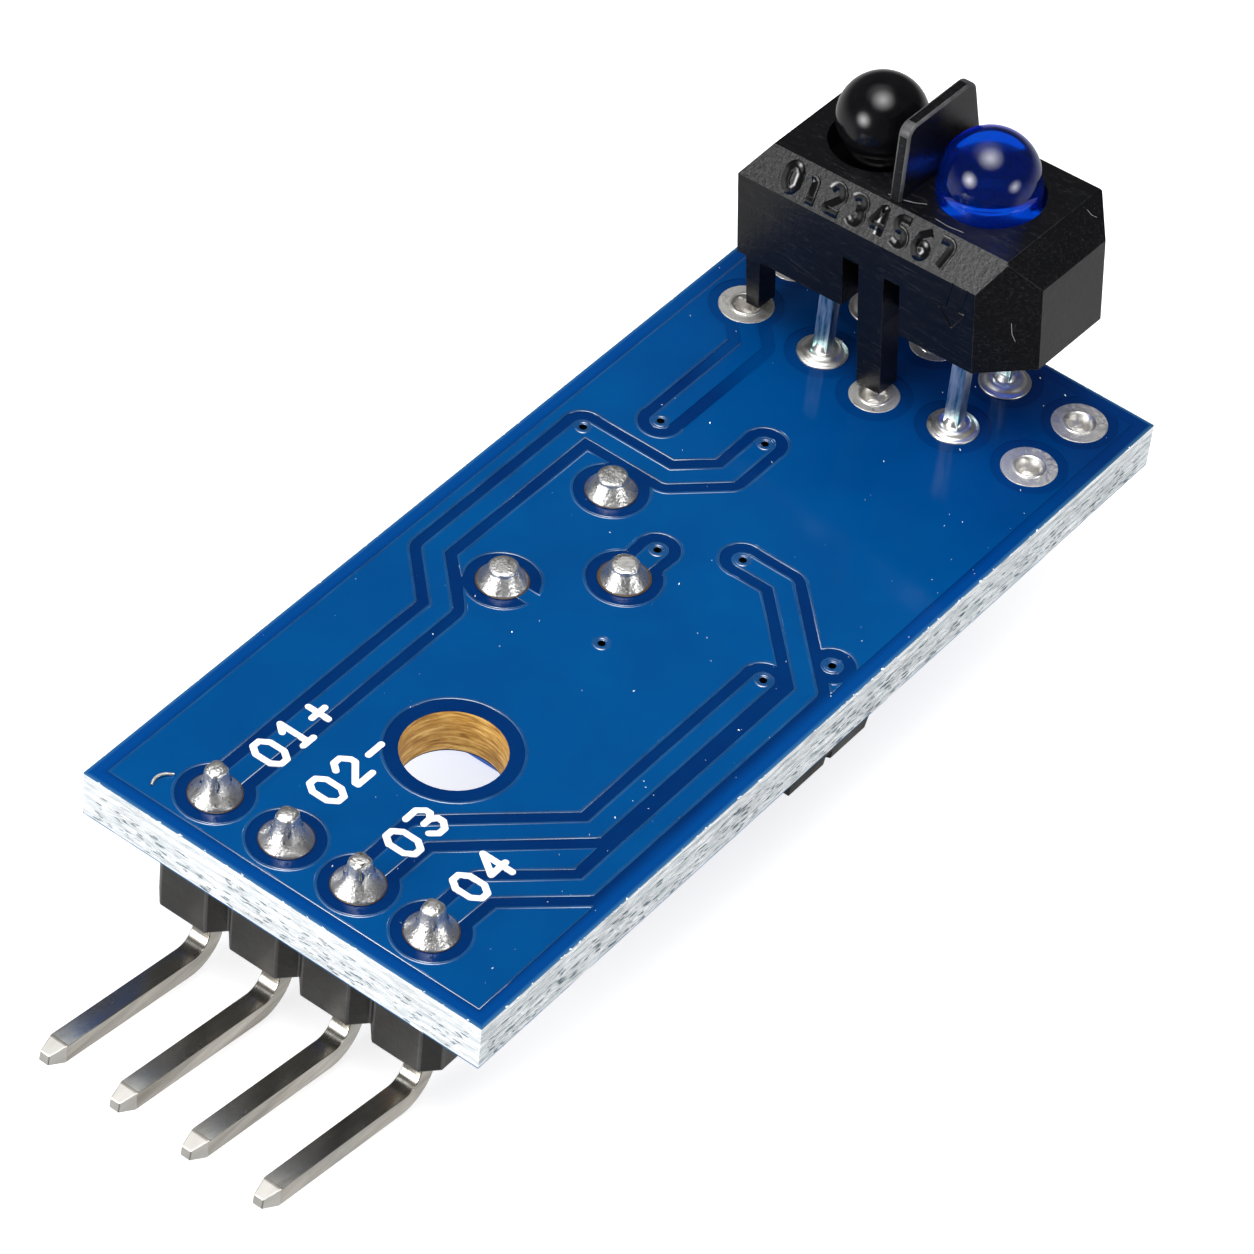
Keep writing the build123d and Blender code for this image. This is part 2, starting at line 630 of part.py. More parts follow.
def trimmer_rotor():
    """Turning button with a cross slot, a flange inside the cup and a recess for the wiper."""
    button = trimmer_disc(ROTOR_R, 2.2, TRIM_H - 0.15)
    button += trimmer_disc(ROTOR_FLANGE_R, 1.75, 3.0)
    button -= trimmer_disc(1.6, 1.6, 2.1)
    depth = 0.9
    middle = trimmer_level(TRIM_H - 0.15 - depth / 2 + 0.05)
    for turn in (0, 90):
        button -= Pos(TRIM_X, TRIM_Y, middle) * Rot(0, 0, turn) * Box(2.3, 0.55, depth + 0.1)
    return button


def trimmer_wiper():
    """Spring contact held in the rotor's recess, its finger just over the track."""
    plate = trimmer_disc(1.2, 1.95, 2.1)
    arm = Pos(TRIM_X, TRIM_Y + 0.9, trimmer_level(1.9)) * Box(0.5, 1.2, 0.1)
    finger = Pos(TRIM_X, TRIM_Y + 1.35, trimmer_level(1.62)) * Box(0.4, 0.22, 0.66)
    return plate + arm + finger


def trimmer_seal():
    """Rubber ring round the button, between the flange and the cup's floor."""
    middle = trimmer_level(3.28)
    return Pos(TRIM_X, TRIM_Y, middle) * Torus(ROTOR_R + 0.32, 0.26)


def comparator_body():
    """Moulded chip body: straight by the board, drafted beyond the leads, with an end notch and a dot."""
    top = -BOARD_T - CHIP_GAP
    face = Pos(CHIP_X, CHIP_Y, top - CHIP_T)
    upper = Pos(CHIP_X, CHIP_Y, top - CHIP_STRAIGHT) * Rectangle(CHIP_W, CHIP_L)
    lower = face * Rectangle(CHIP_W - 2 * CHIP_DRAFT, CHIP_L - 2 * CHIP_DRAFT)
    body = Pos(CHIP_X, CHIP_Y, top - CHIP_STRAIGHT / 2) * Box(CHIP_W, CHIP_L, CHIP_STRAIGHT) + loft([upper, lower])
    notch = face * Pos(0, CHIP_DRAFT - CHIP_L / 2) * Cylinder(CHIP_NOTCH_R, 2 * CHIP_NOTCH_DEPTH)
    dot = face * Pos(-CHIP_W / 3, -CHIP_L / 3) * Cylinder(CHIP_DOT_R, 2 * CHIP_DOT_DEPTH)
    body = body - notch - dot
    for lead in comparator_leads():
        body -= lead
    return body


def comparator_leads():
    """Eight gull-wing leads."""
    knee_z = -BOARD_T - CHIP_GAP - 0.65
    foot_z = -BOARD_T - 0.1
    leads = []
    for side in (-1, 1):
        for i in range(4):
            y = CHIP_Y + CHIP_LEAD_PITCH * (i - 1.5)
            x0 = CHIP_X + side * (CHIP_W / 2 - 0.3)
            x1 = CHIP_X + side * (CHIP_W / 2 + 0.35)
            x2 = CHIP_X + side * (CHIP_W / 2 + 0.5)
            x3 = CHIP_X + side * CHIP_SPAN / 2
            path = FilletPolyline((x0, y, knee_z), (x1, y, knee_z), (x2, y, foot_z), (x3, y, foot_z), radius=0.12)
            start = Plane((x0, y, knee_z), x_dir=(0, 1, 0), z_dir=(side, 0, 0))
            leads.append(sweep(start * Rectangle(0.42, 0.2), path=path))
    return leads


def laid(spot, shape):
    x, y, along = spot
    return Pos(x, y, -BOARD_T) * Rot(0, 0, 0 if along else 90) * Rot(180, 0, 0) * shape


def flat_ends(places, height):
    """Wrapped metal end caps of the small parts."""
    caps = []
    for spot in places:
        for side in (-1, 1):
            cap = Pos(side * (FLAT_L / 2 - FLAT_END / 2), 0, height / 2) * Box(FLAT_END, FLAT_W, height)
            caps.append(laid(spot, fillet(cap.edges().filter_by(Axis.Y), 0.05)))
    return caps


def flat_middles(places, height):
    middle = Box(FLAT_L - 2 * FLAT_END, FLAT_W, height - 0.04)
    return [laid(spot, Pos(0, 0, height / 2) * middle) for spot in places]


def indicator_lights():
    """Clear blocks with sloped ends over white bases."""
    lens_low = Pos(0, 0, 0.35) * Rectangle(FLAT_L - 2 * FLAT_END, FLAT_W)
    lens_high = Pos(0, 0, LED_H) * Rectangle(FLAT_L - 2 * FLAT_END - 0.2, FLAT_W - 0.1)
    return [laid(spot, loft([lens_low, lens_high])) for spot in LED_SPOTS]


def light_bases():
    base = Pos(0, 0, 0.175) * Box(FLAT_L - 2 * FLAT_END, FLAT_W, 0.35)
    return [laid(spot, base) for spot in LED_SPOTS]


def figure_strokes(mark):
    """Strokes of a plain figure with cut corners, as parts of its width and height."""
    ring = ((0.3, 0), (0.7, 0), (1, 0.25), (1, 0.75), (0.7, 1), (0.3, 1), (0, 0.75), (0, 0.25), (0.3, 0))
    strokes = {"0": (ring,),
               "1": (((0.15, 0.75), (0.5, 1), (0.5, 0)), ((0.15, 0), (0.85, 0))),
               "2": (((0, 0.78), (0.3, 1), (0.7, 1), (1, 0.75), (1, 0.6), (0, 0.1), (0, 0), (1, 0)),),
               "3": (((0, 1), (0.7, 1), (1, 0.8), (1, 0.65), (0.7, 0.52), (0.3, 0.52)),
                     ((0.7, 0.52), (1, 0.38), (1, 0.2), (0.7, 0), (0.3, 0), (0, 0.2))),
               "4": (((0.75, 0), (0.75, 1), (0, 0.35), (1, 0.35)),),
               "+": (((0.5, 0.85), (0.5, 0.15)), ((0.05, 0.5), (0.95, 0.5))),
               "-": (((0.05, 0.5), (0.95, 0.5)),)}
    return strokes[mark]


def printed_marks():
    """White figures beside the four pins: a number, with the two supply pins also marked + and -."""
    ink = Sketch()
    wide = MARK_W - MARK_STROKE
    high = MARK_H - MARK_STROKE
    for text, left, middle in MARKS:
        for i, mark in enumerate(text):
            x = left + MARK_STROKE / 2 + i * MARK_PITCH
            y = middle - high / 2
            for stroke in figure_strokes(mark):
                ink += strip([(x + u * wide, y + v * high) for u, v in stroke], MARK_STROKE)
    return slab(ink, 0, MASK_STEP + INK_T) - slab(top_copper_face(), 0, MASK_STEP)


def moved_to_frame(shapes):
    """Shift from board measurements to the frame on the mounting-hole axis."""
    if not isinstance(shapes, (list, tuple)):
        shapes = [shapes]
    solids = []
    for shape in shapes:
        solids += (Pos(-HOLE_X, -HOLE_Y, 0) * shape).solids()
    return solids


def save(name, shapes):
    solids = moved_to_frame(shapes)
    made = solids[0] if len(solids) == 1 else Compound(children=solids)
    made.label = name
    export_step(made, f"parts/{name}.step")


def main():
    os.makedirs("parts", exist_ok=True)
    save("fibreglass_board", fibreglass_board())
    save("top_copper", top_copper())
    save("top_solder_mask", top_solder_mask())
    save("underside_copper", under_copper())
    save("underside_solder_mask", under_solder_mask())
    save("component_pads", component_pads())
    save("printed_pin_marks", printed_marks())
    save("header_ring_pads", rings([(PIN_X, y) for y in header_rows()], PAD_R, PAD_HOLE_R))
    save("trimmer_ring_pads", rings(TRIM_PINS, PAD_R, PAD_HOLE_R))
    save("sensor_ring_pads", rings(tuple(lead_spots()) + LEG_PAD_SPOTS, LEAD_PAD_R, LEAD_PAD_HOLE_R))
    save("spare_ring_pads", countersunk_rings())
    save("via_barrels", via_barrels())
    save("header_body", header_body())
    for i, y in enumerate(reversed(header_rows())):
        save(f"header_pin_{i + 1}", header_pin(y))
    save("header_solder_joints", header_solder())
    save("trimmer_solder_joints", trimmer_solder())
    save("sensor_solder_joints", lead_solder())
    save("sensor_housing", sensor_housing())
    save("emitter_lens_body", emitter_body())
    save("detector_lens_body", detector_body())
    for name, lead in zip(("emitter_front_lead", "emitter_rear_lead"), emitter_leads()):
        save(name, lead)
    for name, lead in zip(("detector_front_lead", "detector_rear_lead"), detector_leads()):
        save(name, lead)
    save("emitter_chip", emitter_chip())
    save("detector_chip", detector_chip())
    save("trimmer_case", trimmer_case())
    save("trimmer_base", trimmer_base())
    save("trimmer_track", trimmer_track())
    save("trimmer_pins", trimmer_pins())
    save("trimmer_rotor", trimmer_rotor())
    save("trimmer_wiper", trimmer_wiper())
    save("trimmer_seal", trimmer_seal())
    save("comparator_body", comparator_body())
    save("comparator_leads", comparator_leads())
    save("chip_resistors", flat_middles(RESISTOR_SPOTS, RESISTOR_H))
    save("chip_resistor_ends", flat_ends(RESISTOR_SPOTS, RESISTOR_H))
    save("chip_capacitors", flat_middles(CAPACITOR_SPOTS, CAPACITOR_H))
    save("chip_capacitor_ends", flat_ends(CAPACITOR_SPOTS, CAPACITOR_H))
    save("indicator_lenses", indicator_lights())
    save("indicator_bases", light_bases())
    save("indicator_ends", flat_ends(LED_SPOTS, 0.4))


main()
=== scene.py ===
import math

import bmesh
import bpy
from mathutils import Matrix, Vector


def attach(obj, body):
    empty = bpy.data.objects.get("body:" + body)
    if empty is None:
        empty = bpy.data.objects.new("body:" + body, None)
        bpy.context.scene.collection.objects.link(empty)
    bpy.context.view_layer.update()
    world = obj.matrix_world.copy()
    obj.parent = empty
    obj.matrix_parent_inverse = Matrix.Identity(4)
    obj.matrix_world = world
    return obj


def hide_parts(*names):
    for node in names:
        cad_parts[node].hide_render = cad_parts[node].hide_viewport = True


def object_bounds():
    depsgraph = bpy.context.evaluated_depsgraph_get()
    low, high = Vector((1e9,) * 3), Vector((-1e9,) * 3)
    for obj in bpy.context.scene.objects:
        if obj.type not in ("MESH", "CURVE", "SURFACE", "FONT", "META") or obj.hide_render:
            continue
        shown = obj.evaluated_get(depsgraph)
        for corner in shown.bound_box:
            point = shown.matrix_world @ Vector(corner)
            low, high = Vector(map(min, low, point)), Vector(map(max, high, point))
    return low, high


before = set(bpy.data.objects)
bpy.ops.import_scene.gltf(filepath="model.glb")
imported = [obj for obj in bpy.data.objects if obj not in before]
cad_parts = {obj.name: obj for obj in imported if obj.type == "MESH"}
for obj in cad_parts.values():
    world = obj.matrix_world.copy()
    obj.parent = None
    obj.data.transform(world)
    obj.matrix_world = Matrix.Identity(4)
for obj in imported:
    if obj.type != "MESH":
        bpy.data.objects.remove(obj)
cad_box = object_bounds()

# Millimetres are turned to metres with MM. Places on the board are measured, as in the CAD, from the
# corner at the header end and the chip side; the frame's own origin is the mounting-hole axis.
MM = 0.001
CORNER = (-7.5, -7.0)
BOARD = (32.0, 14.0)
STEP_UP = 0.018             # how far the mask stands up where it covers copper
PIN_TIPS_X = -12.05         # where the pins' swaged tips begin, from the hole's axis
LEVEL_MASK_X = 16.8         # beyond it, from the hole's axis, the mask has flowed level

# The sensor's own frame leans on the board: its corner's place, its turns in degrees, and its lenses.
SENSOR_AT = (27.0, 2.27, 3.21)
SENSOR_TILT = (-4.85, -1.85, -2.39)
LENS_X = 2.9
EMITTER_Y = 3.05
DETECTOR_Y = 7.12
LENS_Z = 4.84
LENS_R = 1.4
BASE_TOP = 3.06             # the lenses' moulded bases end here, under the roof

SQUARE_FROM = 0.5           # height where a joint starts to show the square pin inside it
SQUARE_RUN = 0.35
BAND_END = 0.45             # splinters stop this far from the board's corners

# camera: place, bearing it looks from, height angle, roll, and lens
CAMERA_AT = (-92.847, -65.702, 116.736)
CAMERA_BEARING = -146.9172
CAMERA_HEIGHT = 44.3815
CAMERA_ROLL = 6.5639
CAMERA_LENS = 168.96
FILM_WIDTH = 36.0

# softboxes: name, place, what it points at, width and height, watts
LAMPS = (
    ("over_light", (-61, -6, 395), (4, 0, 0), (460, 460), 6.2),
    ("left_light", (-370, 120, 110), (8, 0, 2), (330, 300), 4.7),
    ("right_light", (12, -396, 66), (8, 0, 2), (260, 210), 1.5),
)

# room, as strengths of its white light
ROOM_LIGHT = 0.7
ROOM_THROUGH_GLASS = 0.6
BENCH_BRIGHT = 0.62
BENCH_DIM = 0.08
CEILING_DIM = 0.06
CEILING_GLOW = 1.5
CAMERA_SIDE = (-0.838, -0.546, 0.0)
CEILING_GLOW_AT = (0.0, 0.25, 0.97)
BENCH_HALF = 1.5
BENCH_GAP = 0.2             # the bench lies this far under the lowest point
BENCH_SHINE = 0.68


def on_board(x, y, z=0.0):
    """Place on the board, in metres, from its corner in millimetres."""
    return Vector(((x + CORNER[0]) * MM, (y + CORNER[1]) * MM, z * MM))


def sensor_frame():
    """Where the leaning sensor's own frame stands."""
    rx, ry, rz = (math.radians(a) for a in SENSOR_TILT)
    turn = Matrix.Rotation(rz, 4, "Z") @ Matrix.Rotation(ry, 4, "Y") @ Matrix.Rotation(rx, 4, "X")
    return Matrix.Translation(on_board(*SENSOR_AT)) @ turn


# ---------------------------------------------------------------- camera, light and floor

def set_up_camera():
    """Long lens at the front left, looking down at the module."""
    eye = bpy.data.cameras.new("bench_camera")
    eye.sensor_width = FILM_WIDTH
    eye.lens = CAMERA_LENS
    eye.clip_start = 0.01
    eye.clip_end = 20.0
    holder = bpy.data.objects.new("bench_camera", eye)
    bearing, height, roll = (math.radians(a) for a in (CAMERA_BEARING, CAMERA_HEIGHT, CAMERA_ROLL))
    turn = (Matrix.Rotation(bearing + math.pi / 2, 4, "Z") @ Matrix.Rotation(math.pi / 2 - height, 4, "X")
            @ Matrix.Rotation(roll, 4, "Z"))
    holder.matrix_world = Matrix.Translation(Vector(CAMERA_AT) * MM) @ turn
    bpy.context.scene.collection.objects.link(holder)
    bpy.context.scene.camera = holder


def softbox(name, place, target, size, power):
    """Round lamp that is brightest in its middle."""
    lamp = bpy.data.lights.new(name, "AREA")
    lamp.shape = "ELLIPSE"
    lamp.size, lamp.size_y = (s * MM for s in size)
    lamp.energy = power
    lamp.color = (1.0, 1.0, 1.0)
    lamp.use_nodes = True
    tree = lamp.node_tree
    spot = tree.nodes.new("ShaderNodeNewGeometry")
    out = tree.nodes.new("ShaderNodeVectorMath")
    out.operation = "DISTANCE"
    out.inputs[1].default_value = (0.5, 0.5, 0.0)
    join(tree, spot.outputs["Parametric"], out, 0)
    fade = reckon(tree, "POWER", between(tree, out.outputs["Value"], 0.0, 0.5, 1.0, 0.02), 1.5)
    join(tree, fade, tree.nodes["Emission"], "Strength")
    holder = bpy.data.objects.new(name, lamp)
    place = Vector(place) * MM
    aim = Vector(target) * MM - place
    holder.matrix_world = Matrix.Translation(place) @ aim.to_track_quat("-Z", "Y").to_matrix().to_4x4()
    bpy.context.scene.collection.objects.link(holder)


def facing(tree, direction, towards):
    """How nearly a direction points along another: 1 when they agree."""
    made = tree.nodes.new("ShaderNodeVectorMath")
    made.operation = "DOT_PRODUCT"
    made.inputs[1].default_value = towards
    join(tree, direction, made, 0)
    return made.outputs["Value"]


def mixed(tree, share, first, second):
    """Plain number between two others."""
    made = tree.nodes.new("ShaderNodeMix")
    join(tree, share, made, 0)
    for i, value in ((2, first), (3, second)):
        if isinstance(value, (int, float)):
            made.inputs[i].default_value = value
        else:
            join(tree, value, made, i)
    return made.outputs[0]


def set_up_room():
    """White room that fills the shadows, dim in reflections, with three softboxes."""
    world = bpy.data.worlds.new("studio")
    world.use_nodes = True
    tree = world.node_tree
    sky = tree.nodes["Background"]
    sky.inputs["Color"].default_value = (1.0, 1.0, 1.0, 1.0)
    where = tree.nodes.new("ShaderNodeTexCoord")
    parts = tree.nodes.new("ShaderNodeSeparateXYZ")
    join(tree, where.outputs["Generated"], parts, "Vector")
    # in reflections the bench is bright except on the front side, and the ceiling glows by its lamp
    front = facing(tree, where.outputs["Generated"], CAMERA_SIDE)
    bench_glow = between(tree, front, 0.35, 0.6, BENCH_BRIGHT, BENCH_DIM)
    overhead = facing(tree, where.outputs["Generated"], CEILING_GLOW_AT)
    sky_glow = reckon(tree, "POWER", between(tree, overhead, 0.83, 1.0), 1.5)
    high = reckon(tree, "ADD", reckon(tree, "MULTIPLY", sky_glow, CEILING_GLOW), CEILING_DIM)
    gloss = mixed(tree, between(tree, parts.outputs["Z"], -0.3, 0.1), bench_glow, high)
    ray = tree.nodes.new("ShaderNodeLightPath")
    shown = mixed(tree, ray.outputs["Is Glossy Ray"], ROOM_LIGHT, gloss)
    shown = mixed(tree, ray.outputs["Is Transmission Ray"], shown, ROOM_THROUGH_GLASS)
    join(tree, shown, sky, "Strength")
    bpy.context.scene.world = world
    bpy.context.scene.view_settings.view_transform = "Standard"
    for lamp in LAMPS:
        softbox(*lamp)
    set_up_bench()


def set_up_bench():
    """Pale bench just under the lowest point."""
    low = cad_box[0][2] - BENCH_GAP * MM
    corners = [(BENCH_HALF * x, BENCH_HALF * y, low) for x, y in ((-1, -1), (1, -1), (1, 1), (-1, 1))]
    sheet = mesh_of("bench", corners, faces=[(0, 1, 2, 3)])
    bench = bpy.data.objects.new("bench", sheet)
    bpy.context.scene.collection.objects.link(bench)
    paper, tree, shader = new_finish("bench_paper", (0.62, 0.62, 0.62), 0.9)
    grain = noise(tree, 40.0, detail=2)
    paint(tree, shader, grain, [(0.3, (0.60, 0.60, 0.60)), (0.7, (0.64, 0.64, 0.64))])
    fix(shader, Emission_Color=(1.0, 1.0, 1.0, 1.0), Emission_Strength=BENCH_SHINE)
    sheet.materials.append(paper)
    bench.visible_glossy = False


# ---------------------------------------------------------------- small kit for finishes

def new_finish(name, colour, rough, metallic=0.0):
    """New material, with its tree and its shader."""
    finish = bpy.data.materials.new(name)
    finish.use_nodes = True
    tree = finish.node_tree
    shader = tree.nodes["Principled BSDF"]
    shader.inputs["Base Color"].default_value = (*colour, 1.0)
    shader.inputs["Roughness"].default_value = rough
    shader.inputs["Metallic"].default_value = metallic
    return finish, tree, shader


def join(tree, source, node, socket):
    """Lead a node's output to a socket of another node."""
    tree.links.new(source, node.inputs[socket])


def placed(tree, stretch=(1.0, 1.0, 1.0), turn=(0.0, 0.0, 0.0)):
    """The piece's own coordinates, stretched and turned for a pattern."""
    where = tree.nodes.new("ShaderNodeTexCoord")
    seat = tree.nodes.new("ShaderNodeMapping")
    seat.inputs["Rotation"].default_value = turn
    seat.inputs["Scale"].default_value = stretch
    join(tree, where.outputs["Object"], seat, "Vector")
    return seat.outputs["Vector"]


def noise(tree, size, detail=4.0, rough=0.5, warp=0.0, stretch=(1.0, 1.0, 1.0), turn=(0.0, 0.0, 0.0)):
    """Cloudy pattern whose patches are about size millimetres across."""
    made = tree.nodes.new("ShaderNodeTexNoise")
    made.inputs["Scale"].default_value = 1.0 / (size * MM)
    made.inputs["Detail"].default_value = detail
    made.inputs["Roughness"].default_value = rough
    made.inputs["Distortion"].default_value = warp
    join(tree, placed(tree, stretch, turn), made, "Vector")
    return made.outputs["Fac"]


def cells(tree, size, stretch=(1.0, 1.0, 1.0)):
    """Distance to the middle of the nearest cell, cells being about size millimetres across."""
    made = tree.nodes.new("ShaderNodeTexVoronoi")
    made.inputs["Scale"].default_value = 1.0 / (size * MM)
    join(tree, placed(tree, stretch), made, "Vector")
    return made.outputs["Distance"]


def shades(tree, source, stops):
    """Colour or grey ramp: pairs of position and colour."""
    made = tree.nodes.new("ShaderNodeValToRGB")
    band = made.color_ramp
    while len(band.elements) < len(stops):
        band.elements.new(0.5)
    for element, (place, colour) in zip(band.elements, stops):
        element.position = place
        if isinstance(colour, (int, float)):
            colour = (colour, colour, colour)
        element.color = (*colour, 1.0)
    join(tree, source, made, "Fac")
    return made.outputs["Color"]


def paint(tree, shader, source, stops, socket="Base Color"):
    """Lead a pattern through a ramp to one of the shader's sockets."""
    join(tree, shades(tree, source, stops), shader, socket)


def fix(shader, **sockets):
    """Constants of a shader, by socket name with _ for each space."""
    for socket, value in sockets.items():
        shader.inputs[socket.replace("_", " ")].default_value = value


def reckon(tree, operation, first, second=None):
    """Result of one operation on numbers or node outputs."""
    made = tree.nodes.new("ShaderNodeMath")
    made.operation = operation
    for i, value in enumerate((first, second)):
        if value is None:
            continue
        if isinstance(value, (int, float)):
            made.inputs[i].default_value = value
        else:
            tree.links.new(value, made.inputs[i])
    return made.outputs[0]


def blended(tree, share, first, second, mode="MIX"):
    """Mix of two colours."""
    made = tree.nodes.new("ShaderNodeMix")
    made.data_type = "RGBA"
    made.blend_type = mode
    if isinstance(share, (int, float)):
        made.inputs[0].default_value = share
    else:
        tree.links.new(share, made.inputs[0])
    for i, value in ((6, first), (7, second)):
        if isinstance(value, (tuple, list)):
            made.inputs[i].default_value = (*value, 1.0)
        else:
            tree.links.new(value, made.inputs[i])
    return made.outputs[2]


def relief(tree, shader, height, strength, depth):
    """Fine bumps, depth in millimetres."""
    made = tree.nodes.new("ShaderNodeBump")
    made.inputs["Strength"].default_value = strength
    made.inputs["Distance"].default_value = depth * MM
    join(tree, height, made, "Height")
    join(tree, made.outputs["Normal"], shader, "Normal")


def along(tree, axis):
    """One coordinate of the place, in metres."""
    where = tree.nodes.new("ShaderNodeTexCoord")
    parts = tree.nodes.new("ShaderNodeSeparateXYZ")
    join(tree, where.outputs["Object"], parts, "Vector")
    return parts.outputs[axis]


def between(tree, source, low, high, out_low=0.0, out_high=1.0):
    """Value moved from one range to another and held at its ends."""
    made = tree.nodes.new("ShaderNodeMapRange")
    made.inputs["From Min"].default_value = low
    made.inputs["From Max"].default_value = high
    made.inputs["To Min"].default_value = out_low
    made.inputs["To Max"].default_value = out_high
    join(tree, source, made, "Value")
    return made.outputs["Result"]


# ---------------------------------------------------------------- finishes of the board

def painted_sensor_shadow(tree):
    """Grey that grows darker towards the sensor: a painted shadow of the sensor on the mask."""
    lean = reckon(tree, "MULTIPLY", along(tree, "Y"), 0.22)
    reach = between(tree, reckon(tree, "SUBTRACT", along(tree, "X"), lean), CORNER[0] * MM, 26.5 * MM)
    return shades(tree, reach, [
        (0.0, (1.0, 1.0, 1.0)), (0.1, (0.94, 0.94, 0.94)), (0.6, (0.98, 0.98, 0.98)),
        (0.72, (0.80, 0.86, 0.93)), (0.8, (0.62, 0.70, 0.82)), (0.92, (0.36, 0.40, 0.54))])


def mask_finish():
    """Blue solder mask: darker where it lies thick beside the copper, glossy with faint orange peel."""
    finish, tree, shader = new_finish("blue_mask", (0.0, 0.08, 0.30), 0.16)
    height = along(tree, "Z")
    over_copper = between(tree, height, 0.004 * MM, 0.016 * MM)
    cloud = noise(tree, 3.5, detail=3, rough=0.6)
    pour = shades(tree, cloud, [(0.3, (0.0, 0.049, 0.182)), (0.7, (0.0, 0.059, 0.208))])
    bare = shades(tree, cloud, [(0.3, (0.0, 0.018, 0.098)), (0.7, (0.0, 0.025, 0.118))])
    # light comes in through the laminate near the sawn edges
    x = along(tree, "X")
    y = along(tree, "Y")
    left = reckon(tree, "SUBTRACT", x, CORNER[0] * MM)
    right = reckon(tree, "SUBTRACT", (CORNER[0] + BOARD[0]) * MM, x)
    near = reckon(tree, "SUBTRACT", y, CORNER[1] * MM)
    far = reckon(tree, "SUBTRACT", (CORNER[1] + BOARD[1]) * MM, y)
    edge = reckon(tree, "MINIMUM", reckon(tree, "MINIMUM", left, right), reckon(tree, "MINIMUM", near, far))
    border = between(tree, edge, 0.3 * MM, 0.62 * MM, 1.0, 0.0)
    bare = blended(tree, border, bare, (0.0, 0.044, 0.199))
    # the mask is thinner, so less dark, round the sensor's pads
    thin = between(tree, x, 16.5 * MM, 18.5 * MM, 0.0, 0.6)
    bare = blended(tree, thin, bare, pour)
    colour = blended(tree, over_copper, bare, pour)
    # painted shadow of the sensor, darkening the mask towards it
    colour = blended(tree, 1.0, colour, painted_sensor_shadow(tree), "MULTIPLY")
    rim = between(tree, edge, 0.02 * MM, 0.12 * MM, 1.0, 0.0)
    colour = blended(tree, reckon(tree, "MULTIPLY", rim, 0.4), colour, (0.06, 0.20, 0.30))
    join(tree, colour, shader, "Base Color")
    shine = noise(tree, 1.4, detail=5, rough=0.7)
    paint(tree, shader, shine, [(0.3, 0.07), (0.75, 0.13)], "Roughness")
    peel = noise(tree, 0.35, detail=4, rough=0.6)
    relief(tree, shader, peel, 0.14, 0.02)
    fix(shader, Specular_IOR_Level=0.24)
    return finish


def glint_finish():
    """The mask's thin, sloping edge over the copper's rim: paler and very glossy."""
    finish, tree, shader = new_finish("mask_rim_glint", (0.01, 0.14, 0.42), 0.08)
    tone = noise(tree, 1.8, detail=4, rough=0.7)
    colour = shades(tree, tone, [(0.35, (0.0, 0.045, 0.16)), (0.7, (0.004, 0.075, 0.23))])
    # the ridges carry the same painted shadow of the sensor as the mask
    join(tree, blended(tree, 1.0, colour, painted_sensor_shadow(tree), "MULTIPLY"), shader, "Base Color")
    fix(shader, Specular_IOR_Level=1.0)
    join(tree, between(tree, along(tree, "X"), 13.0 * MM, 18.0 * MM, 0.08, 0.2), shader, "Roughness")
    fix(shader, IOR=1.85)
    fine = noise(tree, 0.25, detail=3)
    relief(tree, shader, fine, 0.15, 0.01)
    return finish


def laminate_finish():
    """Sawn glass-fibre edge: pale plies with dark dashes, and a browned wall in the drilled hole."""
    finish, tree, shader = new_finish("glass_fibre", (0.6, 0.62, 0.62), 0.55)
    plies = tree.nodes.new("ShaderNodeTexWave")
    plies.wave_type = "BANDS"
    plies.bands_direction = "Z"
    plies.inputs["Scale"].default_value = 1.0 / (0.9 * MM)
    plies.inputs["Distortion"].default_value = 2.2
    plies.inputs["Detail"].default_value = 3.0
    plies.inputs["Detail Scale"].default_value = 1.3
    join(tree, placed(tree), plies, "Vector")
    yarn = noise(tree, 0.42, detail=4, rough=0.65, stretch=(0.42, 0.42, 2.4))
    colour = shades(tree, yarn, [
        (0.30, (0.20, 0.25, 0.28)), (0.45, (0.42, 0.46, 0.48)), (0.62, (0.66, 0.68, 0.69))])
    band = shades(tree, plies.outputs["Fac"], [
        (0.12, (0.50, 0.54, 0.57)), (0.5, (0.86, 0.87, 0.88)), (0.9, (0.98, 0.98, 0.98))])
    colour = blended(tree, 0.6, colour, band, "MULTIPLY")
    dash = cells(tree, 0.34, stretch=(0.35, 0.35, 2.0))
    dark = between(tree, dash, 0.06, 0.16, 0.75, 0.0)
    colour = blended(tree, dark, colour, (0.16, 0.19, 0.21))
    # painted light: the edge faces turned towards the header end are whitened, for the brighter light that
    # falls on that end
    side = tree.nodes.new("ShaderNodeNewGeometry")
    parts = tree.nodes.new("ShaderNodeSeparateXYZ")
    join(tree, side.outputs["Normal"], parts, "Vector")
    lit_end_share = between(tree, parts.outputs["X"], -0.9, -0.4, 0.3, 0.0)
    colour = blended(tree, lit_end_share, colour, (0.74, 0.75, 0.76))
    # browned, streaked wall of the mounting hole
    x = along(tree, "X")
    y = along(tree, "Y")
    squares = reckon(tree, "ADD", reckon(tree, "MULTIPLY", x, x), reckon(tree, "MULTIPLY", y, y))
    out = reckon(tree, "SQRT", squares)
    in_hole = between(tree, out, 1.7 * MM, 1.8 * MM, 1.0, 0.0)
    streak = noise(tree, 0.42, detail=5, rough=0.65, stretch=(0.5, 0.5, 4.0), warp=0.5)
    brown = shades(tree, streak, [
        (0.30, (0.16, 0.07, 0.008)), (0.48, (0.50, 0.26, 0.04)), (0.70, (0.86, 0.60, 0.20))])
    colour = blended(tree, in_hole, colour, brown)
    join(tree, colour, shader, "Base Color")
    relief(tree, shader, yarn, 0.6, 0.06)
    return finish


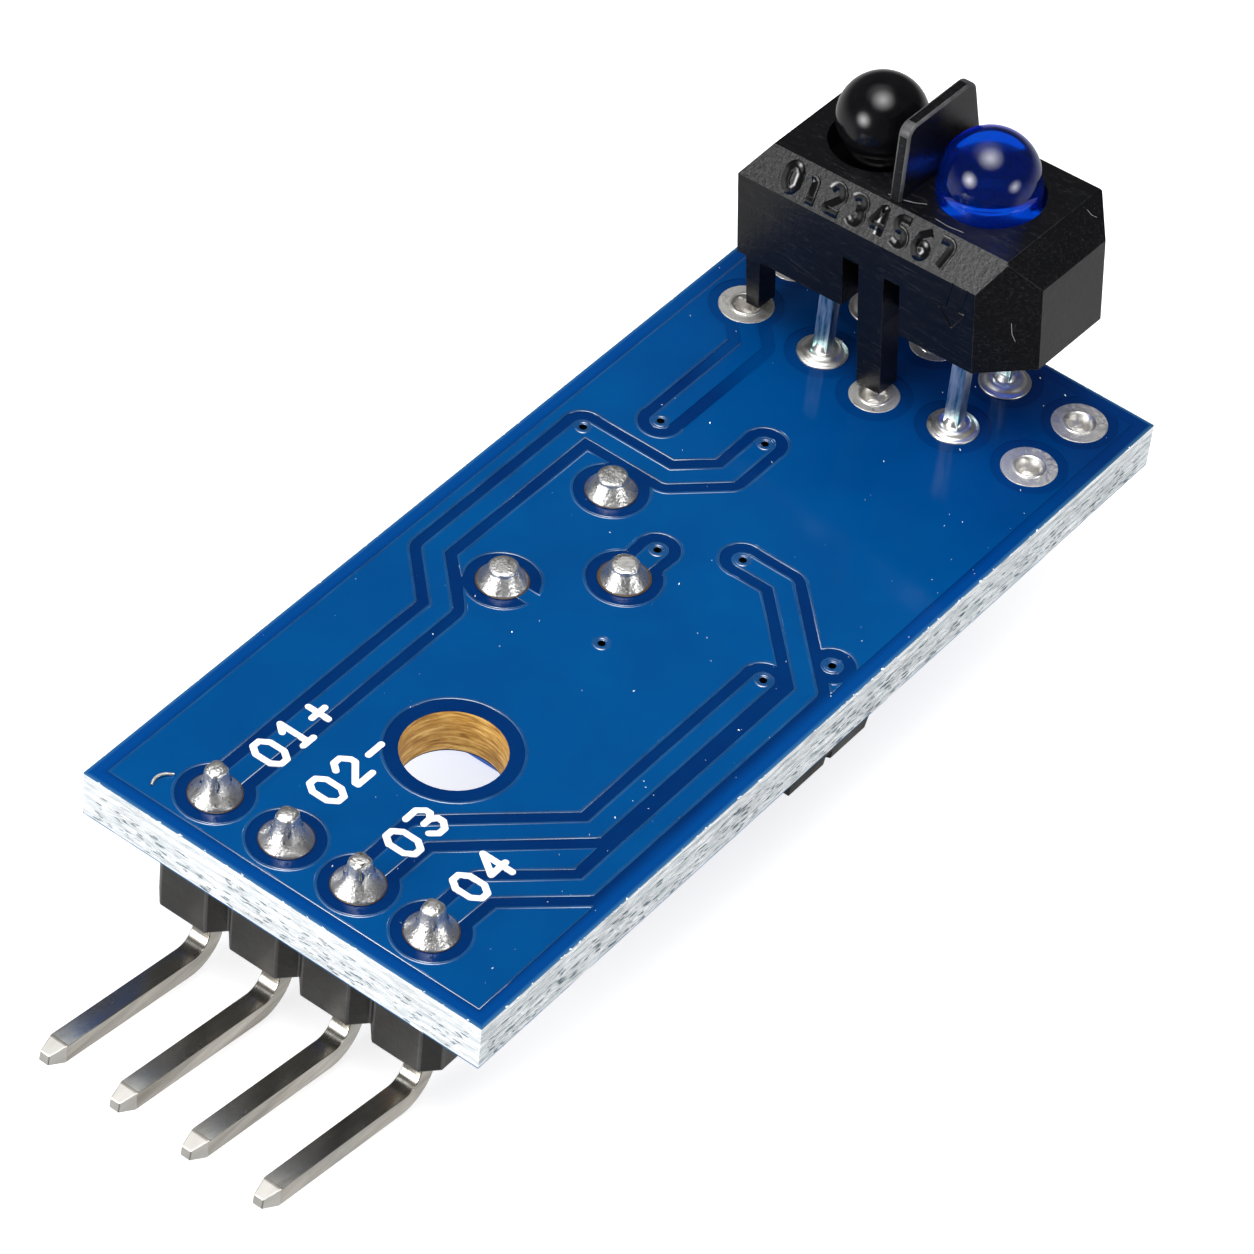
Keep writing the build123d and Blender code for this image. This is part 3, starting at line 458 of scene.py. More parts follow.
def tin_finish(name, colour=(0.78, 0.77, 0.75), rough=0.24, grain=0.5, dent=0.4, dulled=0.72):
    """Tinned or soldered metal with small dents and dull patches."""
    finish, tree, shader = new_finish(name, colour, rough, 1.0)
    patch = noise(tree, grain, detail=4, rough=0.6)
    dull = tuple(c * dulled for c in colour)
    paint(tree, shader, patch, [(0.32, dull), (0.6, colour)])
    paint(tree, shader, patch, [(0.3, rough * 1.7), (0.7, rough * 0.75)], "Roughness")
    fine = noise(tree, grain * 0.4, detail=3)
    relief(tree, shader, fine, dent, 0.04)
    return finish


def pin_finish():
    """Tin on the drawn square wire: long faint streaks, a few dull smears."""
    finish, tree, shader = new_finish("drawn_pin_tin", (0.70, 0.68, 0.64), 0.22, 1.0)
    streak = noise(tree, 0.9, detail=4, rough=0.6, stretch=(0.16, 1.6, 1.6))
    smear = noise(tree, 1.7, detail=3, rough=0.5)
    tone = shades(tree, streak, [
        (0.32, (0.36, 0.33, 0.28)), (0.52, (0.64, 0.60, 0.53)), (0.72, (0.86, 0.83, 0.76))])
    tone = blended(tree, shades(tree, smear, [(0.4, 0.0), (0.68, 0.55)]), tone, (0.42, 0.41, 0.38))
    # painted highlight: the swaged tips are made paler, standing in for lamp reflections on their facets;
    # they are also less smooth than the drawn sides
    tip = between(tree, along(tree, "X"), PIN_TIPS_X * MM, (PIN_TIPS_X + 0.04) * MM, 1.0, 0.0)
    tone = blended(tree, reckon(tree, "MULTIPLY", tip, 0.6), tone, (0.93, 0.91, 0.87))
    join(tree, tone, shader, "Base Color")
    rough = shades(tree, streak, [(0.3, 0.30), (0.7, 0.18)])
    join(tree, reckon(tree, "MAXIMUM", rough, reckon(tree, "MULTIPLY", tip, 0.4)), shader, "Roughness")
    relief(tree, shader, streak, 0.2, 0.02)
    return finish


def lead_finish():
    """Stamped lead frame: bright tin with painted teal and white reflections in lengthwise bands."""
    finish, tree, shader = new_finish("lead_frame", (0.85, 0.88, 0.90), 0.3, 1.0)
    reflection_bands = noise(tree, 0.35, detail=3, rough=0.6, stretch=(1.6, 1.6, 0.22))
    # painted reflection: teal and white bands in the colour stand in for reflections along the leads
    tone = shades(tree, reflection_bands, [
        (0.38, (0.16, 0.42, 0.46)), (0.50, (0.62, 0.74, 0.74)), (0.66, (0.96, 0.96, 0.92))])
    join(tree, tone, shader, "Base Color")
    paint(tree, shader, reflection_bands, [(0.3, 0.26), (0.7, 0.40)], "Roughness")
    relief(tree, shader, reflection_bands, 0.25, 0.03)
    return finish


def copper_finish():
    """Foil with faint tarnish."""
    finish, tree, shader = new_finish("copper_foil", (0.85, 0.42, 0.25), 0.35, 1.0)
    patch = noise(tree, 0.6, detail=4)
    paint(tree, shader, patch, [(0.3, (0.62, 0.28, 0.15)), (0.7, (0.9, 0.5, 0.33))])
    relief(tree, shader, patch, 0.2, 0.02)
    return finish


def ink_finish():
    """Screen-printed white ink, thin in places."""
    finish, tree, shader = new_finish("white_ink", (0.85, 0.86, 0.86), 0.45)
    thin = noise(tree, 0.22, detail=5, rough=0.7)
    paint(tree, shader, thin, [
        (0.24, (0.52, 0.62, 0.72)), (0.36, (0.86, 0.88, 0.89)), (0.7, (0.95, 0.95, 0.95))])
    relief(tree, shader, thin, 0.3, 0.02)
    return finish


# ---------------------------------------------------------------- finishes of the parts

def moulded_finish(name, colour, rough, grain=0.25, scratch=0.0, shine=0.4, bump=0.25, edge_highlight_strength=0.0):
    """Moulded plastic: fine grain, faint patches, hairline scratches and painted edge highlights where asked
    for.
    """
    finish, tree, shader = new_finish(name, colour, rough)
    patch = noise(tree, 1.6, detail=5, rough=0.65)
    light = tuple(min(1.0, c * 1.4 + 0.001) for c in colour)
    tone = shades(tree, patch, [(0.3, colour), (0.72, light)])
    if edge_highlight_strength:
        # painted highlight: the narrow rounded edge strips marked on the mesh are lightened, standing in for
        # lamp glints along the edges
        mark = tree.nodes.new("ShaderNodeAttribute")
        mark.attribute_name = "edge_highlight_mark"
        uneven = shades(tree, patch, [(0.38, 0.15), (0.6, edge_highlight_strength)])
        edge_highlight_mark = reckon(tree, "MULTIPLY", mark.outputs["Fac"], uneven)
        tone = blended(tree, edge_highlight_mark, tone, (0.11, 0.11, 0.113))
    if scratch:
        hair = noise(tree, 0.9, detail=2, stretch=(6.0, 0.35, 6.0), turn=(0.2, 0.5, 0.7), warp=0.4)
        line = shades(tree, hair, [(0.485, 0.0), (0.5, scratch), (0.515, 0.0)])
        tone = blended(tree, line, tone, (0.16, 0.16, 0.17))
    join(tree, tone, shader, "Base Color")
    paint(tree, shader, patch, [(0.3, rough * 1.25), (0.7, rough * 0.8)], "Roughness")
    fine = noise(tree, grain, detail=5, rough=0.7)
    relief(tree, shader, fine, bump, 0.02)
    fix(shader, Specular_IOR_Level=shine)
    return finish


def blue_lens_finish():
    """Deep blue dyed epoxy: see-through, with a little colour of its own so that it glows at the rim."""
    finish, tree, shader = new_finish("blue_lens", (0.0, 0.06, 0.95), 0.05)
    swirl = noise(tree, 1.2, detail=3, warp=0.5)
    paint(tree, shader, swirl, [(0.3, (0.0, 0.075, 0.93)), (0.7, (0.0, 0.13, 1.0))])
    fix(shader, Transmission_Weight=0.97, Specular_IOR_Level=0.3, IOR=1.5)
    fine = noise(tree, 0.5, detail=3)
    relief(tree, shader, fine, 0.03, 0.01)
    return finish


def black_lens_finish():
    """Near-black epoxy with faint smears."""
    finish, tree, shader = new_finish("black_lens", (0.002, 0.002, 0.0025), 0.14)
    smear = noise(tree, 0.9, detail=4, rough=0.6)
    paint(tree, shader, smear, [(0.3, (0.0015, 0.0015, 0.002)), (0.7, (0.004, 0.004, 0.005))])
    paint(tree, shader, smear, [(0.3, 0.12), (0.75, 0.20)], "Roughness")
    fine = noise(tree, 0.3, detail=3)
    relief(tree, shader, fine, 0.04, 0.01)
    fix(shader, Specular_IOR_Level=0.4)
    return finish


def clear_finish():
    """Milky clear lens of an indicator."""
    finish, tree, shader = new_finish("clear_lens", (0.93, 0.94, 0.9), 0.12)
    haze = noise(tree, 0.5, detail=3)
    paint(tree, shader, haze, [(0.3, (0.86, 0.88, 0.8)), (0.7, (0.97, 0.97, 0.95))])
    paint(tree, shader, haze, [(0.3, 0.10), (0.7, 0.22)], "Roughness")
    fix(shader, Transmission_Weight=0.75)
    return finish


# Finishes, in the order they are made: slot or name, maker, and the maker's own values.
# Moulded: name, colour, roughness, grain, scratches, shine, bump, painted edge highlight.
# Tinned: name, colour, roughness, grain, dents, how dull its patches are.
FINISH_ROWS = (
    ("laminate", laminate_finish),
    ("solder_mask", mask_finish),
    ("copper", copper_finish),
    ("tin", tin_finish, "dull_tin", (0.74, 0.73, 0.70), 0.42, 0.12, 0.3, 0.86),
    ("joint_tin", tin_finish, "joint_tin", (0.90, 0.89, 0.87), 0.30, 0.22, 0.55, 0.66),
    ("lead_tin", lead_finish),
    ("mouth_tin", tin_finish, "mouth_tin", (0.88, 0.86, 0.82), 0.32, 0.6, 0.05, 0.88),
    ("relief_black", moulded_finish, "raised_figures", (0.002, 0.002, 0.0025), 0.12, 0.14, 0.0, 0.75),
    # painted shade: the via barrels get near-black tin, standing in for the shade inside the narrow holes
    ("via_dark", tin_finish, "via_wall", (0.10, 0.11, 0.13), 0.4, 0.1),
    ("pin_tin", pin_finish),
    ("solder", tin_finish, "solder_metal", (0.86, 0.85, 0.83), 0.36, 0.32),
    ("white_ink", ink_finish),
    ("housing_black", moulded_finish, "black_moulding", (0.0025, 0.0025, 0.003), 0.21, 0.15, 0.08, 0.32,
     0.6, 0.7),
    ("emitter_blue", blue_lens_finish),
    ("detector_black", black_lens_finish),
    ("header_black", moulded_finish, "header_moulding", (0.014, 0.0135, 0.013), 0.36, 0.2, 0.0, 0.42,
     0.5, 0.4),
    ("trimmer_blue", moulded_finish, "trimmer_case_blue", (0.008, 0.075, 0.36), 0.36, 0.3, 0.0, 0.4, 0.5),
    ("ceramic_white", moulded_finish, "pale_ceramic", (0.72, 0.71, 0.66), 0.6, 0.2),
    ("track_dark", moulded_finish, "carbon_track", (0.03, 0.028, 0.026), 0.5, 0.2),
    ("rotor_white", moulded_finish, "white_rotor", (0.74, 0.73, 0.69), 0.42, 0.25),
    ("seal_red", moulded_finish, "red_seal", (0.45, 0.06, 0.03), 0.5, 0.3),
    ("contact_brass", tin_finish, "wiper_brass", (0.83, 0.60, 0.28), 0.3, 0.5),
    ("chip_black", moulded_finish, "chip_moulding", (0.006, 0.006, 0.0065), 0.5, 0.12, 0.0, 0.3),
    ("resistor_black", moulded_finish, "resistor_glaze", (0.012, 0.012, 0.014), 0.28, 0.2),
    ("capacitor_tan", moulded_finish, "capacitor_ceramic", (0.42, 0.25, 0.12), 0.45, 0.2),
    ("indicator_clear", clear_finish),
    ("die_grey", tin_finish, "die_metal", (0.45, 0.44, 0.43), 0.4, 0.2),
    ("mask_glint", glint_finish),
    ("blue_epoxy", moulded_finish, "blue_epoxy", (0.02, 0.10, 0.85), 0.3, 0.3),
    ("scuff", moulded_finish, "pale_scuff", (0.24, 0.24, 0.245), 0.3, 0.1),
    ("flux", moulded_finish, "brown_flux", (0.055, 0.035, 0.018), 0.3, 0.1),
    ("yarn_white", moulded_finish, "glass_yarn", (0.64, 0.65, 0.66), 0.45, 0.06),
    ("rim_white", moulded_finish, "chipped_rim", (0.72, 0.75, 0.76), 0.5, 0.06),
    ("yarn_dark", moulded_finish, "yarn_gap", (0.12, 0.16, 0.19), 0.6, 0.06),
)


NODE_SLOTS = {
    "laminate": ("fibreglass_board",),
    "solder_mask": ("top_solder_mask", "underside_solder_mask"),
    "copper": ("top_copper", "underside_copper"),
    "tin": ("component_pads", "header_ring_pads", "trimmer_ring_pads", "sensor_ring_pads", "spare_ring_pads",
            "via_barrels", "header_pin_1", "header_pin_2", "header_pin_3", "header_pin_4",
            "emitter_front_lead", "emitter_rear_lead", "detector_front_lead", "detector_rear_lead",
            "trimmer_pins", "comparator_leads", "chip_resistor_ends", "chip_capacitor_ends",
            "indicator_ends"),
    "solder": ("header_solder_joints", "trimmer_solder_joints", "sensor_solder_joints"),
    "white_ink": ("printed_pin_marks",),
    "housing_black": ("sensor_housing",),
    "emitter_blue": ("emitter_lens_body",),
    "detector_black": ("detector_lens_body",),
    "header_black": ("header_body",),
    "trimmer_blue": ("trimmer_case",),
    "ceramic_white": ("trimmer_base", "indicator_bases"),
    "track_dark": ("trimmer_track",),
    "rotor_white": ("trimmer_rotor",),
    "seal_red": ("trimmer_seal",),
    "contact_brass": ("trimmer_wiper",),
    "chip_black": ("comparator_body",),
    "resistor_black": ("chip_resistors",),
    "capacitor_tan": ("chip_capacitors",),
    "indicator_clear": ("indicator_lenses",),
    "die_grey": ("emitter_chip", "detector_chip"),
}

# nodes whose finish differs from that of their slot
SPECIAL = {"via_barrels": "via_dark", "emitter_front_lead": "lead_tin", "emitter_rear_lead": "lead_tin",
           "detector_front_lead": "lead_tin", "detector_rear_lead": "lead_tin"}


def dress_cad_nodes(finishes):
    """Give each CAD node the finish of its slot, or its own."""
    for slot, names in NODE_SLOTS.items():
        for name in names:
            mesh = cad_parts[name].data
            mesh.materials.clear()
            mesh.materials.append(finishes[SPECIAL.get(name, slot)])


# ---------------------------------------------------------------- pieces

def whole_copy(node, angle=0.6):
    """Copy of a CAD part with its loose triangles joined and its flat faces made whole."""
    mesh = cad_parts[node].data.copy()
    body = bmesh.new()
    body.from_mesh(mesh)
    bmesh.ops.remove_doubles(body, verts=body.verts, dist=0.001 * MM)
    bmesh.ops.dissolve_limit(body, angle_limit=math.radians(angle), verts=body.verts, edges=body.edges)
    body.to_mesh(mesh)
    body.free()
    return mesh


def mesh_of(name, dots, links=(), faces=(), smooth=False):
    """Mesh from its points, in metres."""
    mesh = bpy.data.meshes.new(name)
    mesh.from_pydata([tuple(dot) for dot in dots], list(links), list(faces))
    if smooth:
        mesh.polygons.foreach_set("use_smooth", [True] * len(mesh.polygons))
    return mesh


def joined(name, meshes):
    """One mesh from several."""
    body = bmesh.new()
    for mesh in meshes:
        body.from_mesh(mesh)
    whole = bpy.data.meshes.new(name)
    body.to_mesh(whole)
    body.free()
    return whole


def without(mesh, unwanted):
    """Take away the faces of a mesh for which unwanted(face) is true."""
    body = bmesh.new()
    body.from_mesh(mesh)
    bmesh.ops.delete(body, geom=[face for face in body.faces if unwanted(face)], context="FACES")
    body.to_mesh(mesh)
    body.free()
    return mesh


def show(name, mesh, slot, nodes=(), body="module", finish=None):
    """Put a finished mesh in the scene as a piece of the object."""
    piece = bpy.data.objects.new(name, mesh)
    mesh.name = name
    bpy.context.scene.collection.objects.link(piece)
    mesh.materials.clear()
    mesh.materials.append(FINISHES[finish or slot])
    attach(piece, body)
    if nodes:
        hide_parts(*nodes)
    return piece


def smoothed(mesh, limit):
    """Smooth shading, with edges sharper than limit kept crisp."""
    mesh.polygons.foreach_set("use_smooth", [True] * len(mesh.polygons))
    mesh.set_sharp_from_angle(angle=math.radians(limit))
    return mesh


def soften(piece, width, segments, limit):
    """Round the edges sharper than limit and keep the faces between them flat."""
    soft = piece.modifiers.new("soft_edges", "BEVEL")
    soft.width = width * MM
    soft.segments = segments
    soft.profile = 0.6
    soft.limit_method = "ANGLE"
    soft.angle_limit = math.radians(limit)
    soft.harden_normals = True
    soft.use_clamp_overlap = True


def rounded_piece(name, node, slot, width, body="module", segments=2, limit=30.0, finish=None):
    """CAD part with softly rounded edges."""
    mesh = smoothed(whole_copy(node), limit)
    soften(show(name, mesh, slot, (node,), body, finish), width, segments, limit)


def mark_edge_highlights(mesh, narrow=0.06):
    """Give each narrow rounded strip a mark that the finish reads, to paint a highlight along the edges."""
    mark = mesh.attributes.new("edge_highlight_mark", "FLOAT", "FACE")
    for face in mesh.polygons:
        corners = [mesh.vertices[i].co for i in face.vertices]
        longest = max((a - b).length for a, b in zip(corners, corners[1:] + corners[:1]))
        mark.data[face.index].value = 1.0 if face.area / longest < narrow * MM else 0.0


def highlighted_edge_piece(name, node, slot, width, segments=2, limit=30.0):
    """Rounded CAD part as a plain mesh whose edge strips are marked for a painted highlight."""
    shaped = bpy.data.objects.new(name + "_shape", smoothed(whole_copy(node), limit))
    bpy.context.scene.collection.objects.link(shaped)
    soften(shaped, width, segments, limit)
    bpy.context.view_layer.update()
    seen = shaped.evaluated_get(bpy.context.evaluated_depsgraph_get())
    mesh = bpy.data.meshes.new_from_object(seen)
    bpy.data.objects.remove(shaped)
    mark_edge_highlights(mesh)
    show(name, mesh, slot, (node,))


# ---------------------------------------------------------------- kit for grown pieces

def new_tree(name, wanted):
    """Empty Geometry Nodes tree with one mesh input and the named inputs asked for."""
    tree = bpy.data.node_groups.new(name, "GeometryNodeTree")
    tree.interface.new_socket(name="Geometry", in_out="INPUT", socket_type="NodeSocketGeometry")
    for label, kind, value in wanted:
        plug = tree.interface.new_socket(name=label, in_out="INPUT", socket_type="NodeSocket" + kind)
        if value is not None:
            plug.default_value = value
    tree.interface.new_socket(name="Geometry", in_out="OUTPUT", socket_type="NodeSocketGeometry")
    start = tree.nodes.new("NodeGroupInput")
    end = tree.nodes.new("NodeGroupOutput")
    return tree, start.outputs, end.inputs["Geometry"]


def step(tree, kind, plugs=None, **traits):
    """New node with its traits set and its sockets given values or joined to other nodes."""
    made = tree.nodes.new(kind)
    for trait, value in traits.items():
        setattr(made, trait, value)
    for plug, value in (plugs or {}).items():
        if isinstance(value, bpy.types.NodeSocket):
            tree.links.new(value, made.inputs[plug])
        else:
            made.inputs[plug].default_value = value
    return made


def shape(tree, kind, plugs=None, **traits):
    """First output of a new Geometry Nodes step."""
    return step(tree, "GeometryNode" + kind, plugs, **traits).outputs[0]


def chance(tree, low, high, seed, kind="FLOAT"):
    """Random number, or random vector, between two others."""
    first, output = (2, 1) if kind == "FLOAT" else (0, 0)
    made = step(tree, "FunctionNodeRandomValue", {first: low, first + 1: high, "Seed": seed}, data_type=kind)
    return made.outputs[output]


def greater(tree, first, second):
    """Whether one value is greater than another."""
    plugs = {"A": first, "B": second}
    return step(tree, "FunctionNodeCompare", plugs, data_type="FLOAT", operation="GREATER_THAN").outputs[0]


def close_tree(tree, grown_shape, finish, end, smooth=True):
    """End a tree with real geometry in its finish."""
    real = shape(tree, "RealizeInstances", {"Geometry": grown_shape})
    if smooth:
        real = shape(tree, "SetShadeSmooth", {"Geometry": real})
    tree.links.new(shape(tree, "SetMaterial", {"Geometry": real, "Material": finish}), end)


def grown(name, tree, base, finish, values):
    """Run a tree on a mesh and give back the plain mesh that it makes."""
    holder = bpy.data.objects.new(name, base)
    bpy.context.scene.collection.objects.link(holder)
    run = holder.modifiers.new("grow", "NODES")
    run.node_group = tree
    keys = {item.name: item.identifier for item in tree.interface.items_tree
            if item.item_type == "SOCKET" and item.in_out == "INPUT"}
    for label, value in {**values, "Finish": FINISHES[finish]}.items():
        run[keys[label]] = value
    ready = holder.evaluated_get(bpy.context.evaluated_depsgraph_get())
    mesh = bpy.data.meshes.new_from_object(ready)
    holder.modifiers.remove(run)
    bpy.data.objects.remove(holder)
    return mesh


def seed_shape(name, mesh):
    """Helper object that a tree repeats; it is taken out of the scene once the pieces are made."""
    holder = bpy.data.objects.new(name, mesh)
    HELPERS.append(holder)
    return holder


def paths_mesh(name, paths):
    """Lines only: each path is a list of points."""
    dots, links = [], []
    for path in paths:
        first = len(dots)
        dots += path
        links += [(first + i, first + i + 1) for i in range(len(path) - 1)]
    return mesh_of(name, dots, links)


def ring_of_dots(radius, height, around, swell=0.0):
    """Points round Z, in metres; swell pushes them out towards the four corners."""
    dots = []
    for i in range(around):
        a = 2 * math.pi * i / around
        reach = radius * (1.0 - swell * math.cos(4 * a))
        dots.append((reach * math.cos(a) * MM, reach * math.sin(a) * MM, height * MM))
    return dots


def turned_mesh(name, profile, around=48, square=0.0):
    """Lathe-turned closed shape from radius and height pairs in millimetres, bottom first.
    Above SQUARE_FROM its section swells towards the four corners by the share square."""
    dots, faces = [], []
    for r, z in profile:
        dots += ring_of_dots(r, z, around, square * max(0.0, min(1.0, (z - SQUARE_FROM) / SQUARE_RUN)))
    for k in range(len(profile) - 1):
        for i in range(around):
            j = (i + 1) % around
            faces.append((k * around + i, k * around + j, (k + 1) * around + j, (k + 1) * around + i))
    dots += [(0, 0, profile[0][1] * MM), (0, 0, profile[-1][1] * MM)]
    foot, tip = len(dots) - 2, len(dots) - 1
    last = (len(profile) - 1) * around
    for i in range(around):
        j = (i + 1) % around
        faces.append((foot, j, i))
        faces.append((tip, last + i, last + j))
    return mesh_of(name, dots, faces=faces, smooth=True)


def open_ring(name, section, around):
    """Closed ring swept round Z; its section runs from the bore outwards and back underneath."""
    section = section + [(section[-1][0], section[0][1])]
    dots = [dot for r, z in section for dot in ring_of_dots(r, z, around)]
    faces = []
    for k in range(len(section)):
        n = (k + 1) % len(section)
        for i in range(around):
            j = (i + 1) % around
            faces.append((k * around + i, n * around + i, n * around + j, k * around + j))
    mesh = mesh_of(name, dots, faces=faces)
    body = bmesh.new()
    body.from_mesh(mesh)
    bmesh.ops.recalc_face_normals(body, faces=body.faces)
    body.to_mesh(mesh)
    body.free()
    return mesh


def round_section(name, radius, around=8):
    """Helper circle that a sweep carries along its lines."""
    spots = ring_of_dots(radius, 0.0, around)
    return seed_shape(name, paths_mesh(name, [spots + spots[:1]]))


def ridge_tree():
    """Soft ridge of mask along every copper edge, found on the mask itself."""
    tree, given, end = new_tree("copper_edge_ridges", [
        ("Lowest", "Float", 0.0), ("Ridge radius", "Float", 0.0), ("Ridge centre", "Float", 0.0),
        ("Flatness", "Float", 0.3), ("Sharpest fold", "Float", 1.2), ("Finish", "Material", None)])
    height = step(tree, "ShaderNodeSeparateXYZ", {"Vector": shape(tree, "InputPosition")}).outputs["Z"]
    above = greater(tree, height, given["Lowest"])
    fold = step(tree, "GeometryNodeInputMeshEdgeAngle").outputs["Unsigned Angle"]
    sharp = greater(tree, fold, given["Sharpest fold"])
    both = step(tree, "FunctionNodeBooleanMath", {0: above, 1: sharp}, operation="AND").outputs[0]
    lines = shape(tree, "MeshToCurve", {"Mesh": given["Geometry"], "Selection": both})
    ring = shape(tree, "CurvePrimitiveCircle", {"Resolution": 8, "Radius": given["Ridge radius"]})
    tube = shape(tree, "CurveToMesh", {"Curve": lines, "Profile Curve": ring})
    # press the tubes flat and set them at the height of the ridge
    parts = step(tree, "ShaderNodeSeparateXYZ", {"Vector": shape(tree, "InputPosition")}).outputs
    rise = reckon(tree, "SUBTRACT", parts["Z"], given["Lowest"])
    level = reckon(tree, "ADD", reckon(tree, "MULTIPLY", rise, given["Flatness"]), given["Ridge centre"])
    spot = step(tree, "ShaderNodeCombineXYZ", {"X": parts["X"], "Y": parts["Y"], "Z": level}).outputs[0]
    pressed = shape(tree, "SetPosition", {"Geometry": tube, "Position": spot})
    close_tree(tree, pressed, given["Finish"], end)
    return tree


def repeat_tree():
    """One shape set on every point, each a little different in turn, size and dents."""
    tree, given, end = new_tree("set_on_points", [
        ("Shape", "Object", None), ("Turn", "Float", 0.2), ("Size spread", "Float", 0.03),
        ("Dent depth", "Float", 0.0), ("Dent size", "Float", 1.0), ("Seed", "Int", 3),
        ("Finish", "Material", None)])
    one = step(tree, "GeometryNodeObjectInfo", {"Object": given["Shape"]}).outputs["Geometry"]
    turn = chance(tree, reckon(tree, "MULTIPLY", given["Turn"], -1.0), given["Turn"], given["Seed"])
    spin = step(tree, "ShaderNodeCombineXYZ", {"Z": turn}).outputs[0]
    size = chance(tree, reckon(tree, "SUBTRACT", 1.0, given["Size spread"]), 1.0, given["Seed"])
    all_set = shape(tree, "InstanceOnPoints", {
        "Points": given["Geometry"], "Instance": one, "Rotation": spin, "Scale": size})
    real = shape(tree, "RealizeInstances", {"Geometry": all_set})
    dents = step(tree, "ShaderNodeTexNoise", {"Scale": given["Dent size"], "Detail": 2.0}).outputs["Color"]
    centred = step(tree, "ShaderNodeVectorMath", {0: dents, 1: (0.5, 0.5, 0.5)}, operation="SUBTRACT")
    pushes = {0: centred.outputs[0], "Scale": given["Dent depth"]}
    push = step(tree, "ShaderNodeVectorMath", pushes, operation="SCALE").outputs[0]
    close_tree(tree, shape(tree, "SetPosition", {"Geometry": real, "Offset": push}), given["Finish"], end)
    return tree


def sweep_tree():
    """A section swept along drawn lines, with rounded bends and closed ends."""
    tree, given, end = new_tree("swept_lines", [
        ("Section", "Object", None), ("Bend radius", "Float", 0.0), ("Bend steps", "Int", 4),
        ("Finish", "Material", None)])
    section = step(tree, "GeometryNodeObjectInfo", {"Object": given["Section"]}).outputs["Geometry"]
    outline = shape(tree, "MeshToCurve", {"Mesh": section})
    lines = shape(tree, "MeshToCurve", {"Mesh": given["Geometry"]})
    bends = {"Curve": lines, "Radius": given["Bend radius"], "Count": given["Bend steps"],
             "Limit Radius": True}
    bent = shape(tree, "FilletCurve", bends, mode="POLY")
    upright = shape(tree, "SetCurveNormal", {"Curve": bent}, mode="Z_UP")
    bar = shape(tree, "CurveToMesh", {"Curve": upright, "Profile Curve": outline, "Fill Caps": True})
    close_tree(tree, bar, given["Finish"], end)
    return tree


def scatter_tree():
    """Small flakes scattered over a strip, lying along it."""
    tree, given, end = new_tree("scattered_flakes", [
        ("Flake", "Object", None), ("Per area", "Float", 1.0), ("Tilt", "Float", 0.3),
        ("Smallest", "Float", 0.4), ("Seed", "Int", 5), ("Finish", "Material", None)])
    flake = step(tree, "GeometryNodeObjectInfo", {"Object": given["Flake"]}).outputs["Geometry"]
    strewn = shape(tree, "DistributePointsOnFaces", {
        "Mesh": given["Geometry"], "Density": given["Per area"], "Seed": given["Seed"]})
    low = reckon(tree, "MULTIPLY", given["Tilt"], -1.0)
    least, most = (step(tree, "ShaderNodeCombineXYZ", {axis: tilt for axis in "XYZ"}).outputs[0]
                   for tilt in (low, given["Tilt"]))
    turn = chance(tree, least, most, given["Seed"], "FLOAT_VECTOR")
    size = chance(tree, given["Smallest"], 1.0, given["Seed"])
    laid = shape(tree, "InstanceOnPoints", {
        "Points": strewn, "Instance": flake, "Rotation": turn, "Scale": size})
    close_tree(tree, laid, given["Finish"], end, smooth=False)
    return tree


def flake_mesh(name, length, width, thick):
    """Splinter with pointed ends, in millimetres, lying along X."""
    l, w, t = length / 2 * MM, width / 2 * MM, thick / 2 * MM
    dots = [(-l, 0, 0), (-l * 0.5, w, t * 0.6), (l * 0.45, w * 0.8, t), (l, 0, 0), (l * 0.4, -w, t * 0.5),
            (-l * 0.55, -w * 0.9, t), (0, 0, -t)]
    faces = [(0, 5, 1), (1, 5, 4, 2), (2, 4, 3)] + [(i, (i + 1) % 6, 6) for i in range(6)]
    return mesh_of(name, dots, faces=faces)


# ---------------------------------------------------------------- pieces of the board

def make_mask_ridges(tree):
    """Ridges along the copper; under the sensor, where the mask has flowed level, there are none."""
    mesh = grown("mask_ridges", tree, whole_copy("top_solder_mask"), "mask_glint", {
        "Lowest": (STEP_UP - 0.001) * MM, "Ridge radius": 0.056 * MM, "Ridge centre": 0.0125 * MM,
        "Flatness": 0.25})
    without(mesh, lambda face: face.calc_center_median().x > LEVEL_MASK_X * MM)
    show("mask_ridges", mesh, "solder_mask", finish="mask_glint")


def pad_places(node, height=0.0):
    """Centres of the separate rings or joints of a CAD node, set at one height."""
    body = bmesh.new()
    body.from_mesh(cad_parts[node].data)
    bmesh.ops.remove_doubles(body, verts=body.verts, dist=0.001 * MM)
    left = set(body.verts)
    centres = []
    while left:
        island, edge = set(), [left.pop()]
        while edge:
            spot = edge.pop()
            island.add(spot)
            for link in spot.link_edges:
                other = link.other_vert(spot)
                if other in left:
                    left.discard(other)
                    edge.append(other)
        low = [min(v.co[i] for v in island) for i in range(2)]
        high = [max(v.co[i] for v in island) for i in range(2)]
        centres.append(((low[0] + high[0]) / 2, (low[1] + high[1]) / 2, height * MM))
    body.free()
    return sorted(centres)


